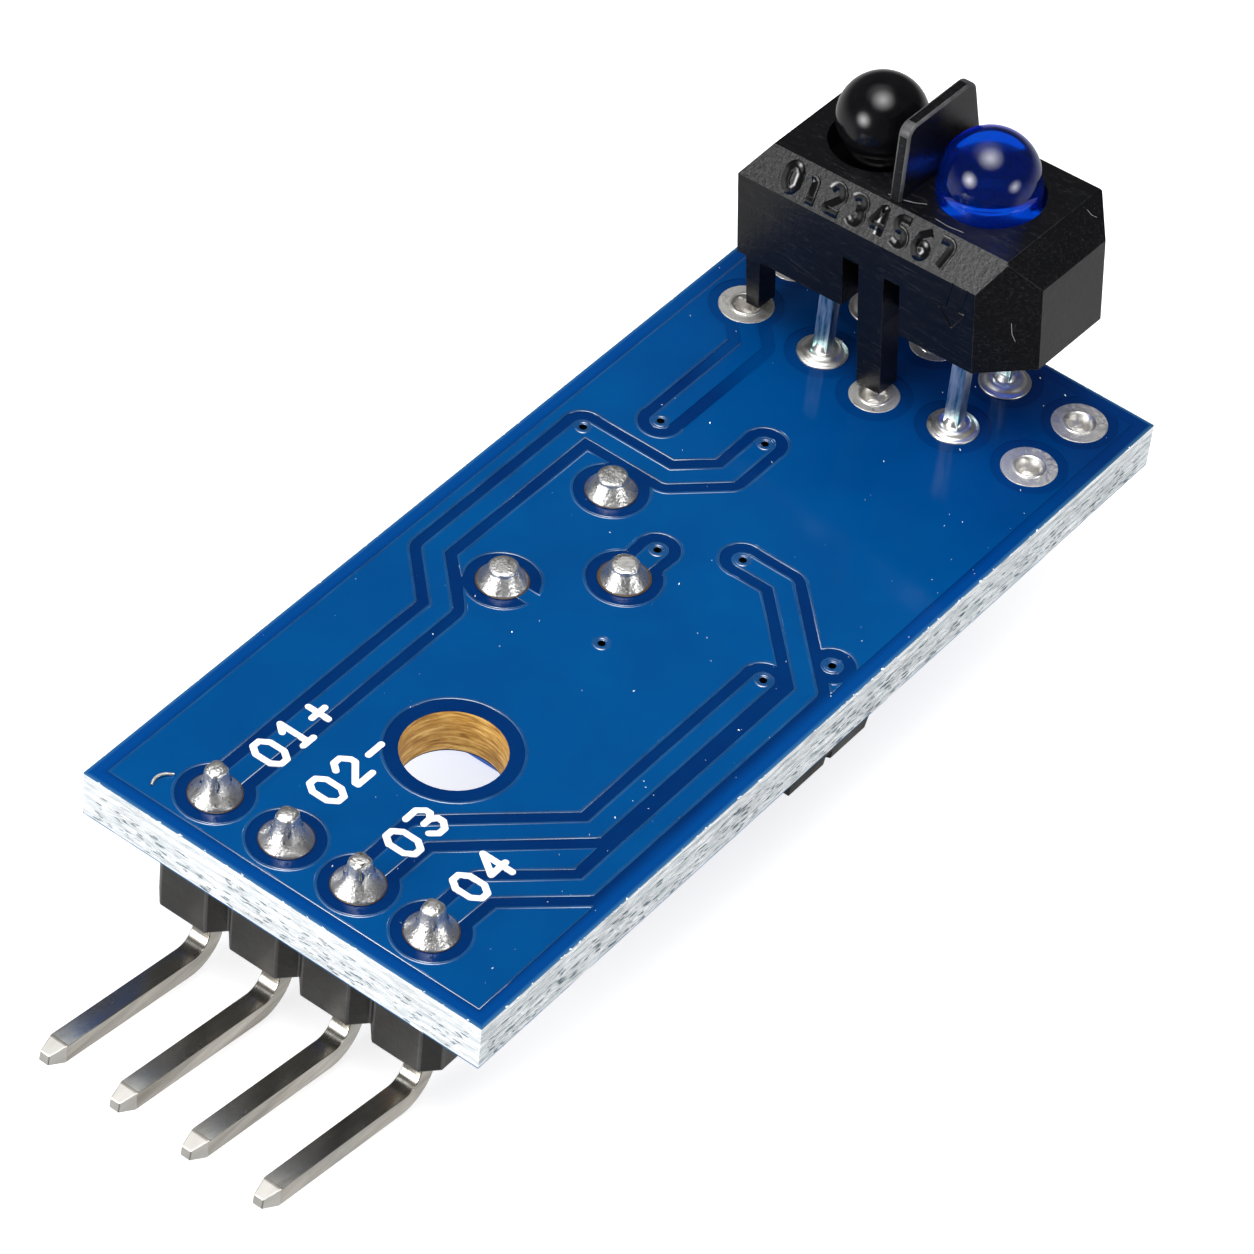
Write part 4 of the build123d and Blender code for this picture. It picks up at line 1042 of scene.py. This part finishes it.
# Profiles of what is turned round each pad: radius and height pairs, in millimetres.
HEADER_CONE = [
    (0.40, -1.58), (0.46, -0.02), (0.765, 0.012), (0.775, 0.045), (0.745, 0.085), (0.69, 0.145), (0.62, 0.22),
    (0.545, 0.315), (0.475, 0.42), (0.42, 0.53), (0.38, 0.64), (0.355, 0.74), (0.34, 0.83), (0.328, 0.92),
    (0.31, 0.985), (0.27, 1.03), (0.19, 1.055), (0.08, 1.062)]
TRIMMER_STUB = [
    (0.40, -1.58), (0.46, -0.02), (0.755, 0.012), (0.765, 0.04), (0.74, 0.075), (0.69, 0.14), (0.63, 0.22),
    (0.565, 0.315), (0.505, 0.405), (0.455, 0.475), (0.435, 0.505), (0.445, 0.54), (0.448, 0.585),
    (0.425, 0.618), (0.36, 0.632), (0.15, 0.636)]
LEAD_RING = [
    (0.40, -1.58), (0.46, -0.02), (0.80, 0.012), (0.81, 0.04), (0.78, 0.065), (0.72, 0.075), (0.665, 0.09),
    (0.62, 0.14), (0.565, 0.205), (0.50, 0.24), (0.43, 0.235), (0.375, 0.205), (0.33, 0.205), (0.295, 0.25),
    (0.265, 0.34), (0.245, 0.44), (0.12, 0.45)]
FLUX_BAND = [(0.74, 0.006), (0.785, 0.008), (0.795, 0.016), (0.785, 0.024), (0.76, 0.028)]
RING_MOUTH = [
    (0.24, -0.5), (0.27, -0.30), (0.325, -0.12), (0.38, -0.02), (0.43, 0.045), (0.47, 0.064), (0.51, 0.05),
    (0.50, -0.2), (0.40, -0.7), (0.24, -0.7)]
VIA_LIP = [(0.165, -0.004), (0.172, 0.022), (0.20, 0.034), (0.24, 0.034), (0.275, 0.026), (0.30, 0.012)]


def set_on_pads(tree, name, turned, places, slot, finish, seed, nodes=(),
                turn=3.0, spread=0.03, dent=0.01, dent_size=1.5):
    """One turned shape on every place, each a little different, shown as one piece."""
    mesh = grown(name, tree, mesh_of(name + "_spots", places), finish, {
        "Shape": seed_shape(name + "_shape", turned), "Turn": turn, "Size spread": spread,
        "Dent depth": dent * MM, "Dent size": dent_size / MM, "Seed": seed})
    show(name, mesh, slot, nodes, finish=finish)


def make_pad_metal(tree):
    """Solder cones round the cut pins, flux lines, rings round the sensor's leads, and open mouths."""
    header, trimmer = pad_places("header_solder_joints"), pad_places("trimmer_solder_joints")
    leads = pad_places("sensor_solder_joints")
    set_on_pads(tree, "header_joints", turned_mesh("header_joint", HEADER_CONE, 56, 0.07), header, "solder",
                "joint_tin", 4, ("header_solder_joints",), 0.25, 0.03, 0.085, 1.15)
    set_on_pads(tree, "trimmer_joints", turned_mesh("trimmer_joint", TRIMMER_STUB, 56), trimmer, "solder",
                "joint_tin", 9, ("trimmer_solder_joints",), 0.25, 0.04, 0.085, 1.15)
    flux = pad_places("header_solder_joints", 0.012) + pad_places("trimmer_solder_joints", 0.012)
    set_on_pads(tree, "flux_rings", turned_mesh("flux_ring", FLUX_BAND), flux, "laminate",
                "flux", 2, spread=0.012)
    set_on_pads(tree, "lead_joints", turned_mesh("lead_joint", LEAD_RING, 56), leads, "solder",
                "mouth_tin", 8, ("sensor_solder_joints",), dent=0.025, dent_size=1.3)
    taken = [Vector(place) for place in leads]
    mouths = pad_places("spare_ring_pads")
    mouths += [place for place in pad_places("sensor_ring_pads")
               if all((Vector(place) - lead).length > 0.5 * MM for lead in taken)]
    set_on_pads(tree, "ring_mouths", open_ring("ring_mouth", RING_MOUTH, 40), mouths, "tin", "mouth_tin", 5)
    set_on_pads(tree, "via_lips", open_ring("via_lip", VIA_LIP, 28), pad_places("via_barrels"), "solder_mask",
                "mask_glint", 6, spread=0.08, dent=0.012, dent_size=2.0)


def strip_faces(name, corners):
    """Separate four-cornered faces."""
    dots = [dot for quad in corners for dot in quad]
    return mesh_of(name, dots, faces=[tuple(range(i, i + 4)) for i in range(0, len(dots), 4)])


def edge_bands(low, high, out):
    """Upright strips along the board's four edges, from low to high, stood off by out."""
    length, width = BOARD
    x0, y0, x1, y1 = BAND_END, BAND_END, length - BAND_END, width - BAND_END
    along_x = (((x0, -out), (x1, -out)), ((x1, width + out), (x0, width + out)))
    along_y = (((-out, y1), (-out, y0)), ((length + out, y0), (length + out, y1)))
    return [[[on_board(*a, low), on_board(*b, low), on_board(*b, high), on_board(*a, high)] for a, b in side]
            for side in (along_x, along_y)]


# splinters: name, length, width, thickness, per square millimetre, tilt, lowest, highest, stood off, finish
EDGE_FLAKES = (
    ("edge_yarn", 1.5, 0.05, 0.03, 26.0, 0.05, -1.55, -0.06, 0.0, "yarn_white"),
    ("edge_gaps", 0.36, 0.055, 0.03, 13.0, 0.12, -1.5, -0.5, 0.006, "yarn_dark"),
    ("rim_chips", 0.15, 0.06, 0.035, 45.0, 0.5, -0.05, 0.0, 0.0, "rim_white"),
)


def make_edge_fibres(tree):
    """Splinters of glass fibre in the sawn edges: pale yarn, dark gaps, and white chips along the top rim."""
    for name, long, wide, thick, density, tilt, low, high, out, finish in EDGE_FLAKES:
        parts = []
        for side, bands in zip("xy", edge_bands(low, high, out)):
            flake = flake_mesh(name + side, long, wide, thick)
            if side == "y":
                flake.transform(Matrix.Rotation(math.pi / 2, 4, "Z"))
            parts.append(grown(name + side, tree, strip_faces(name + side, bands), finish, {
                "Flake": seed_shape(name + side, flake), "Per area": density / MM ** 2, "Tilt": tilt,
                "Smallest": 0.35, "Seed": len(name) + ord(side)}))
        show(name, joined(name, parts), "laminate", finish=finish)


# dust: two corners of a field, specks per square millimetre, seed
DUST_FIELDS = (((0.6, 0.15), (31.4, 2.4), 0.75, 11), ((0.6, 2.4), (31.4, 13.8), 0.22, 12))


def make_dust(tree):
    """White specks of dust on the mask, thickest near the chip-side edge."""
    z = STEP_UP + 0.004
    parts = []
    for (x0, y0), (x1, y1), density, seed in DUST_FIELDS:
        field = [on_board(x, y, z) for x, y in ((x0, y0), (x1, y0), (x1, y1), (x0, y1))]
        speck = seed_shape("speck", flake_mesh("speck", 0.085, 0.035, 0.012))
        parts.append(grown("dust", tree, strip_faces("dust_field", [field]), "rim_white", {
            "Flake": speck, "Per area": density / MM ** 2, "Tilt": 3.0, "Smallest": 0.3, "Seed": seed}))
    specks = joined("dust_specks", parts)
    for dot in specks.vertices:
        dot.co.z = max(dot.co.z, STEP_UP * MM)
    show("dust_specks", specks, "white_ink", finish="rim_white")


def swept(tree, name, section, paths, finish, bend, steps=4):
    """A section carried along drawn paths, with its corners bent round."""
    return grown(name, tree, paths_mesh(name + "_lines", paths), finish, {
        "Section": section, "Bend radius": bend * MM, "Bend steps": steps})


def make_sliver(tree):
    """Curved clipping of wire lying near the first pin."""
    wire = round_section("sliver_section", 0.045)
    bow = [(0.86, 12.28), (1.02, 12.36), (1.22, 12.36), (1.42, 12.26), (1.58, 12.1)]
    path = [on_board(x, y, 0.045 + 0.05 * math.sin(i * 0.8)) for i, (x, y) in enumerate(bow)]
    show("wire_sliver", swept(tree, "wire_sliver", wire, [path], "solder", 0.3), "solder")


# ---------------------------------------------------------------- pieces of the sensor

def lens_dome(profile, radius=LENS_R, crown_drop=0.0, rows=20):
    """Profile of a neck that runs into the round lens; crown_drop sets its crown a little lower."""
    middle = LENS_Z + LENS_R - radius - crown_drop
    start = math.asin(max(-1.0, min(1.0, (profile[-1][1] - middle) / radius)))
    angles = [start + (math.pi / 2 - start) * i / rows for i in range(1, rows)]
    return profile + [(radius * math.cos(a), middle + radius * math.sin(a)) for a in angles]


def lens_base(mesh, node):
    """Moulded base of the CAD part below the roof, joined to a turned shape."""
    back = sensor_frame().inverted()
    base = without(whole_copy(node), lambda face: max((back @ v.co).z for v in face.verts) > BASE_TOP * MM)
    return joined(mesh.name, (base, mesh))


# profiles of the lenses' necks and of the blue core under the dome: radius and height pairs
BLUE_NECK = [
    (1.2, 3.30), (1.52, 3.34), (1.575, 3.42), (1.58, 4.30), (1.575, 4.42), (1.555, 4.50), (1.53, 4.56)]
BLUE_CORE = [(1.3, 3.0), (1.5, 3.02), (1.54, 3.08), (1.54, 3.2), (1.5, 3.25), (1.3, 3.262)]
BLACK_NECK = [(0.9, 2.9), (1.0, 2.96), (1.02, 3.6), (1.04, 3.78), (1.09, 3.9)]


def make_lenses():
    """Blue and black lens, each turned in its place on the leaning sensor."""
    blue, black = (sensor_frame() @ Matrix.Translation(Vector((x, y, 0)) * MM)
                   for x, y in ((LENS_X - 0.03, EMITTER_Y + 0.08), (LENS_X, DETECTOR_Y)))
    dome = turned_mesh("blue_lens", lens_dome(BLUE_NECK, 1.52, 0.06), 72)
    dome.transform(blue)
    show("blue_lens", dome, "emitter_blue", ("emitter_lens_body",))
    core = turned_mesh("blue_core", BLUE_CORE)
    core.transform(blue)
    show("blue_base", lens_base(core, "emitter_lens_body"), "emitter_blue", finish="blue_epoxy")
    dome = turned_mesh("black_lens", lens_dome(BLACK_NECK), 72)
    dome.transform(black)
    show("black_lens", lens_base(dome, "detector_lens_body"), "detector_black", ("detector_lens_body",))


FIGURES = {
    "0": [[(0.3, 0), (0.7, 0), (1, 0.25), (1, 0.75), (0.7, 1), (0.3, 1), (0, 0.75), (0, 0.25), (0.3, 0)]],
    "1": [[(0.15, 0.75), (0.5, 1), (0.5, 0)], [(0.2, 0), (0.8, 0)]],
    "2": [[(0, 0.78), (0.25, 1), (0.75, 1), (1, 0.75), (1, 0.6), (0, 0.1), (0, 0), (1, 0)]],
    "3": [[(0, 0.88), (0.25, 1), (0.75, 1), (1, 0.8), (0.85, 0.56), (0.4, 0.52)],
          [(0.85, 0.52), (1, 0.25), (0.75, 0), (0.25, 0), (0, 0.12)]],
    "4": [[(0.72, 0), (0.72, 1), (0.55, 1), (0, 0.4), (0, 0.3), (1, 0.3)]],
    "5": [[(0.95, 1), (0.1, 1), (0.05, 0.55), (0.65, 0.58), (1, 0.35), (0.9, 0.08), (0.5, 0), (0, 0.1)]],
    "6": [[(0.9, 1), (0.25, 0.75), (0, 0.3), (0.3, 0), (0.75, 0), (1, 0.28), (0.7, 0.52), (0.1, 0.42)]],
    "7": [[(0, 1), (1, 1), (0.4, 0)]],
}


# raised outline of a figure's stroke: half its width and its height
STROKE_HALF = 0.13
STROKE_UP = 0.07
FIGURE_TALL = 0.80
FIGURE_WIDE = 0.44
FIGURE_PITCH = 0.80
BEVEL_SLOPE = (0.7, 0.0, 1.1)
FIRST_FIGURE = (0.0, 8.62, 2.95)


def stroke_section():
    """Section of a stroke: two thin ridges with a hollow between them."""
    right = [(0.04, 0.004), (STROKE_HALF - 0.07, STROKE_UP), (STROKE_HALF - 0.03, STROKE_UP),
             (STROKE_HALF, 0.02), (STROKE_HALF, -0.05)]
    left = [(-x, y) for x, y in reversed(right)]
    outline = [(x * MM, y * MM, 0) for x, y in left + right + left[:1]]
    return seed_shape("figure_section", paths_mesh("figure_section", [outline]))


def make_relief(tree):
    """Plain counting figures in outline, raised on the front bevel."""
    paths = []
    for i, figure in enumerate("01234567"):
        left = i * FIGURE_PITCH
        for stroke in FIGURES[figure]:
            paths.append([((left + u * FIGURE_WIDE) * MM, v * FIGURE_TALL * MM, 0.0) for u, v in stroke])
    mesh = swept(tree, "figure_relief", stroke_section(), paths, "relief_black", 0.14)
    slope = Vector(BEVEL_SLOPE).normalized()
    across = Vector((0.0, -1.0, 0.0))
    turn = Matrix((across, slope, across.cross(slope))).transposed().to_4x4()
    corner = Vector(FIRST_FIGURE) + slope * 0.25
    mesh.transform(sensor_frame() @ Matrix.Translation(corner * MM) @ turn)
    show("figure_relief", mesh, "housing_black", finish="relief_black")


# Both in the sensor's own frame: rolled rim of the engraved arrow, as Y and Z on the front face,
# and fine curved scuffs as points.
ARROW = ((2.2, 2.94), (2.45, 1.95), (2.68, 1.9), (2.18, 1.3), (1.72, 2.02), (1.95, 2.0), (1.66, 2.94))

SCUFFS = (
    ((0.95, 5.35, 4.06), (1.0, 4.9, 4.06), (1.12, 4.5, 4.06), (1.3, 4.2, 4.06)),
    ((0.92, 3.6, 4.06), (0.88, 3.1, 4.06), (0.94, 2.6, 4.06)),
    ((4.25, 0.62, 3.88), (4.3, 0.5, 3.72), (4.45, 0.4, 3.58)),
    ((0.4, 0.35, 2.2), (0.42, 0.33, 1.8), (0.5, 0.25, 1.5)),
)


def make_scuffs(tree):
    """Rolled edge of the engraved arrow and a few bright hairline scuffs."""
    for name, radius, around, lines, finish, bend, steps in (
            ("arrow_edge", 0.022, 6, [[(-0.004, y, z) for y, z in ARROW]], "relief_black", 0.03, 3),
            ("housing_scuffs", 0.006, 5, SCUFFS, "scuff", 0.2, 4)):
        paths = [[Vector(point) * MM for point in line] for line in lines]
        mesh = swept(tree, name, round_section(name + "_section", radius, around), paths, finish, bend, steps)
        mesh.transform(sensor_frame())
        show(name, mesh, "housing_black", finish=finish)


# ---------------------------------------------------------------- put it together

# parts of the component side: piece, CAD node, slot, rounding, body
ROUNDED = (
    ("trimmer_shell", "trimmer_case", "trimmer_blue", 0.14, "module"),
    ("trimmer_foot", "trimmer_base", "ceramic_white", 0.05, "module"),
    ("trimmer_knob", "trimmer_rotor", "rotor_white", 0.05, "trimmer_turning_part"),
    ("chip_block", "comparator_body", "chip_black", 0.05, "module"),
    ("chip_legs", "comparator_leads", "tin", 0.03, "module"),
    ("resistor_blocks", "chip_resistors", "resistor_black", 0.04, "module"),
    ("capacitor_blocks", "chip_capacitors", "capacitor_tan", 0.07, "module"),
    ("small_part_ends", "chip_resistor_ends", "tin", 0.04, "module"),
    ("capacitor_caps", "chip_capacitor_ends", "tin", 0.07, "module"),
    ("indicator_domes", "indicator_lenses", "indicator_clear", 0.06, "module"),
)

HELPERS = []
FINISHES = {key: maker(*values) for key, maker, *values in FINISH_ROWS}
set_up_camera()
set_up_room()
dress_cad_nodes(FINISHES)

sweep = sweep_tree()
scatter = scatter_tree()
make_mask_ridges(ridge_tree())
make_pad_metal(repeat_tree())
make_edge_fibres(scatter)
make_dust(scatter)
make_sliver(sweep)
for pin in range(1, 5):
    rounded_piece(f"bent_pin_{pin}", f"header_pin_{pin}", "tin", 0.03, limit=9.0, finish="pin_tin")
highlighted_edge_piece("header_blocks", "header_body", "header_black", 0.06)
for part in ROUNDED:
    rounded_piece(*part)
highlighted_edge_piece("black_housing", "sensor_housing", "housing_black", 0.075, segments=3)
make_lenses()
make_relief(sweep)
make_scuffs(sweep)
for helper in HELPERS:
    bpy.data.objects.remove(helper)
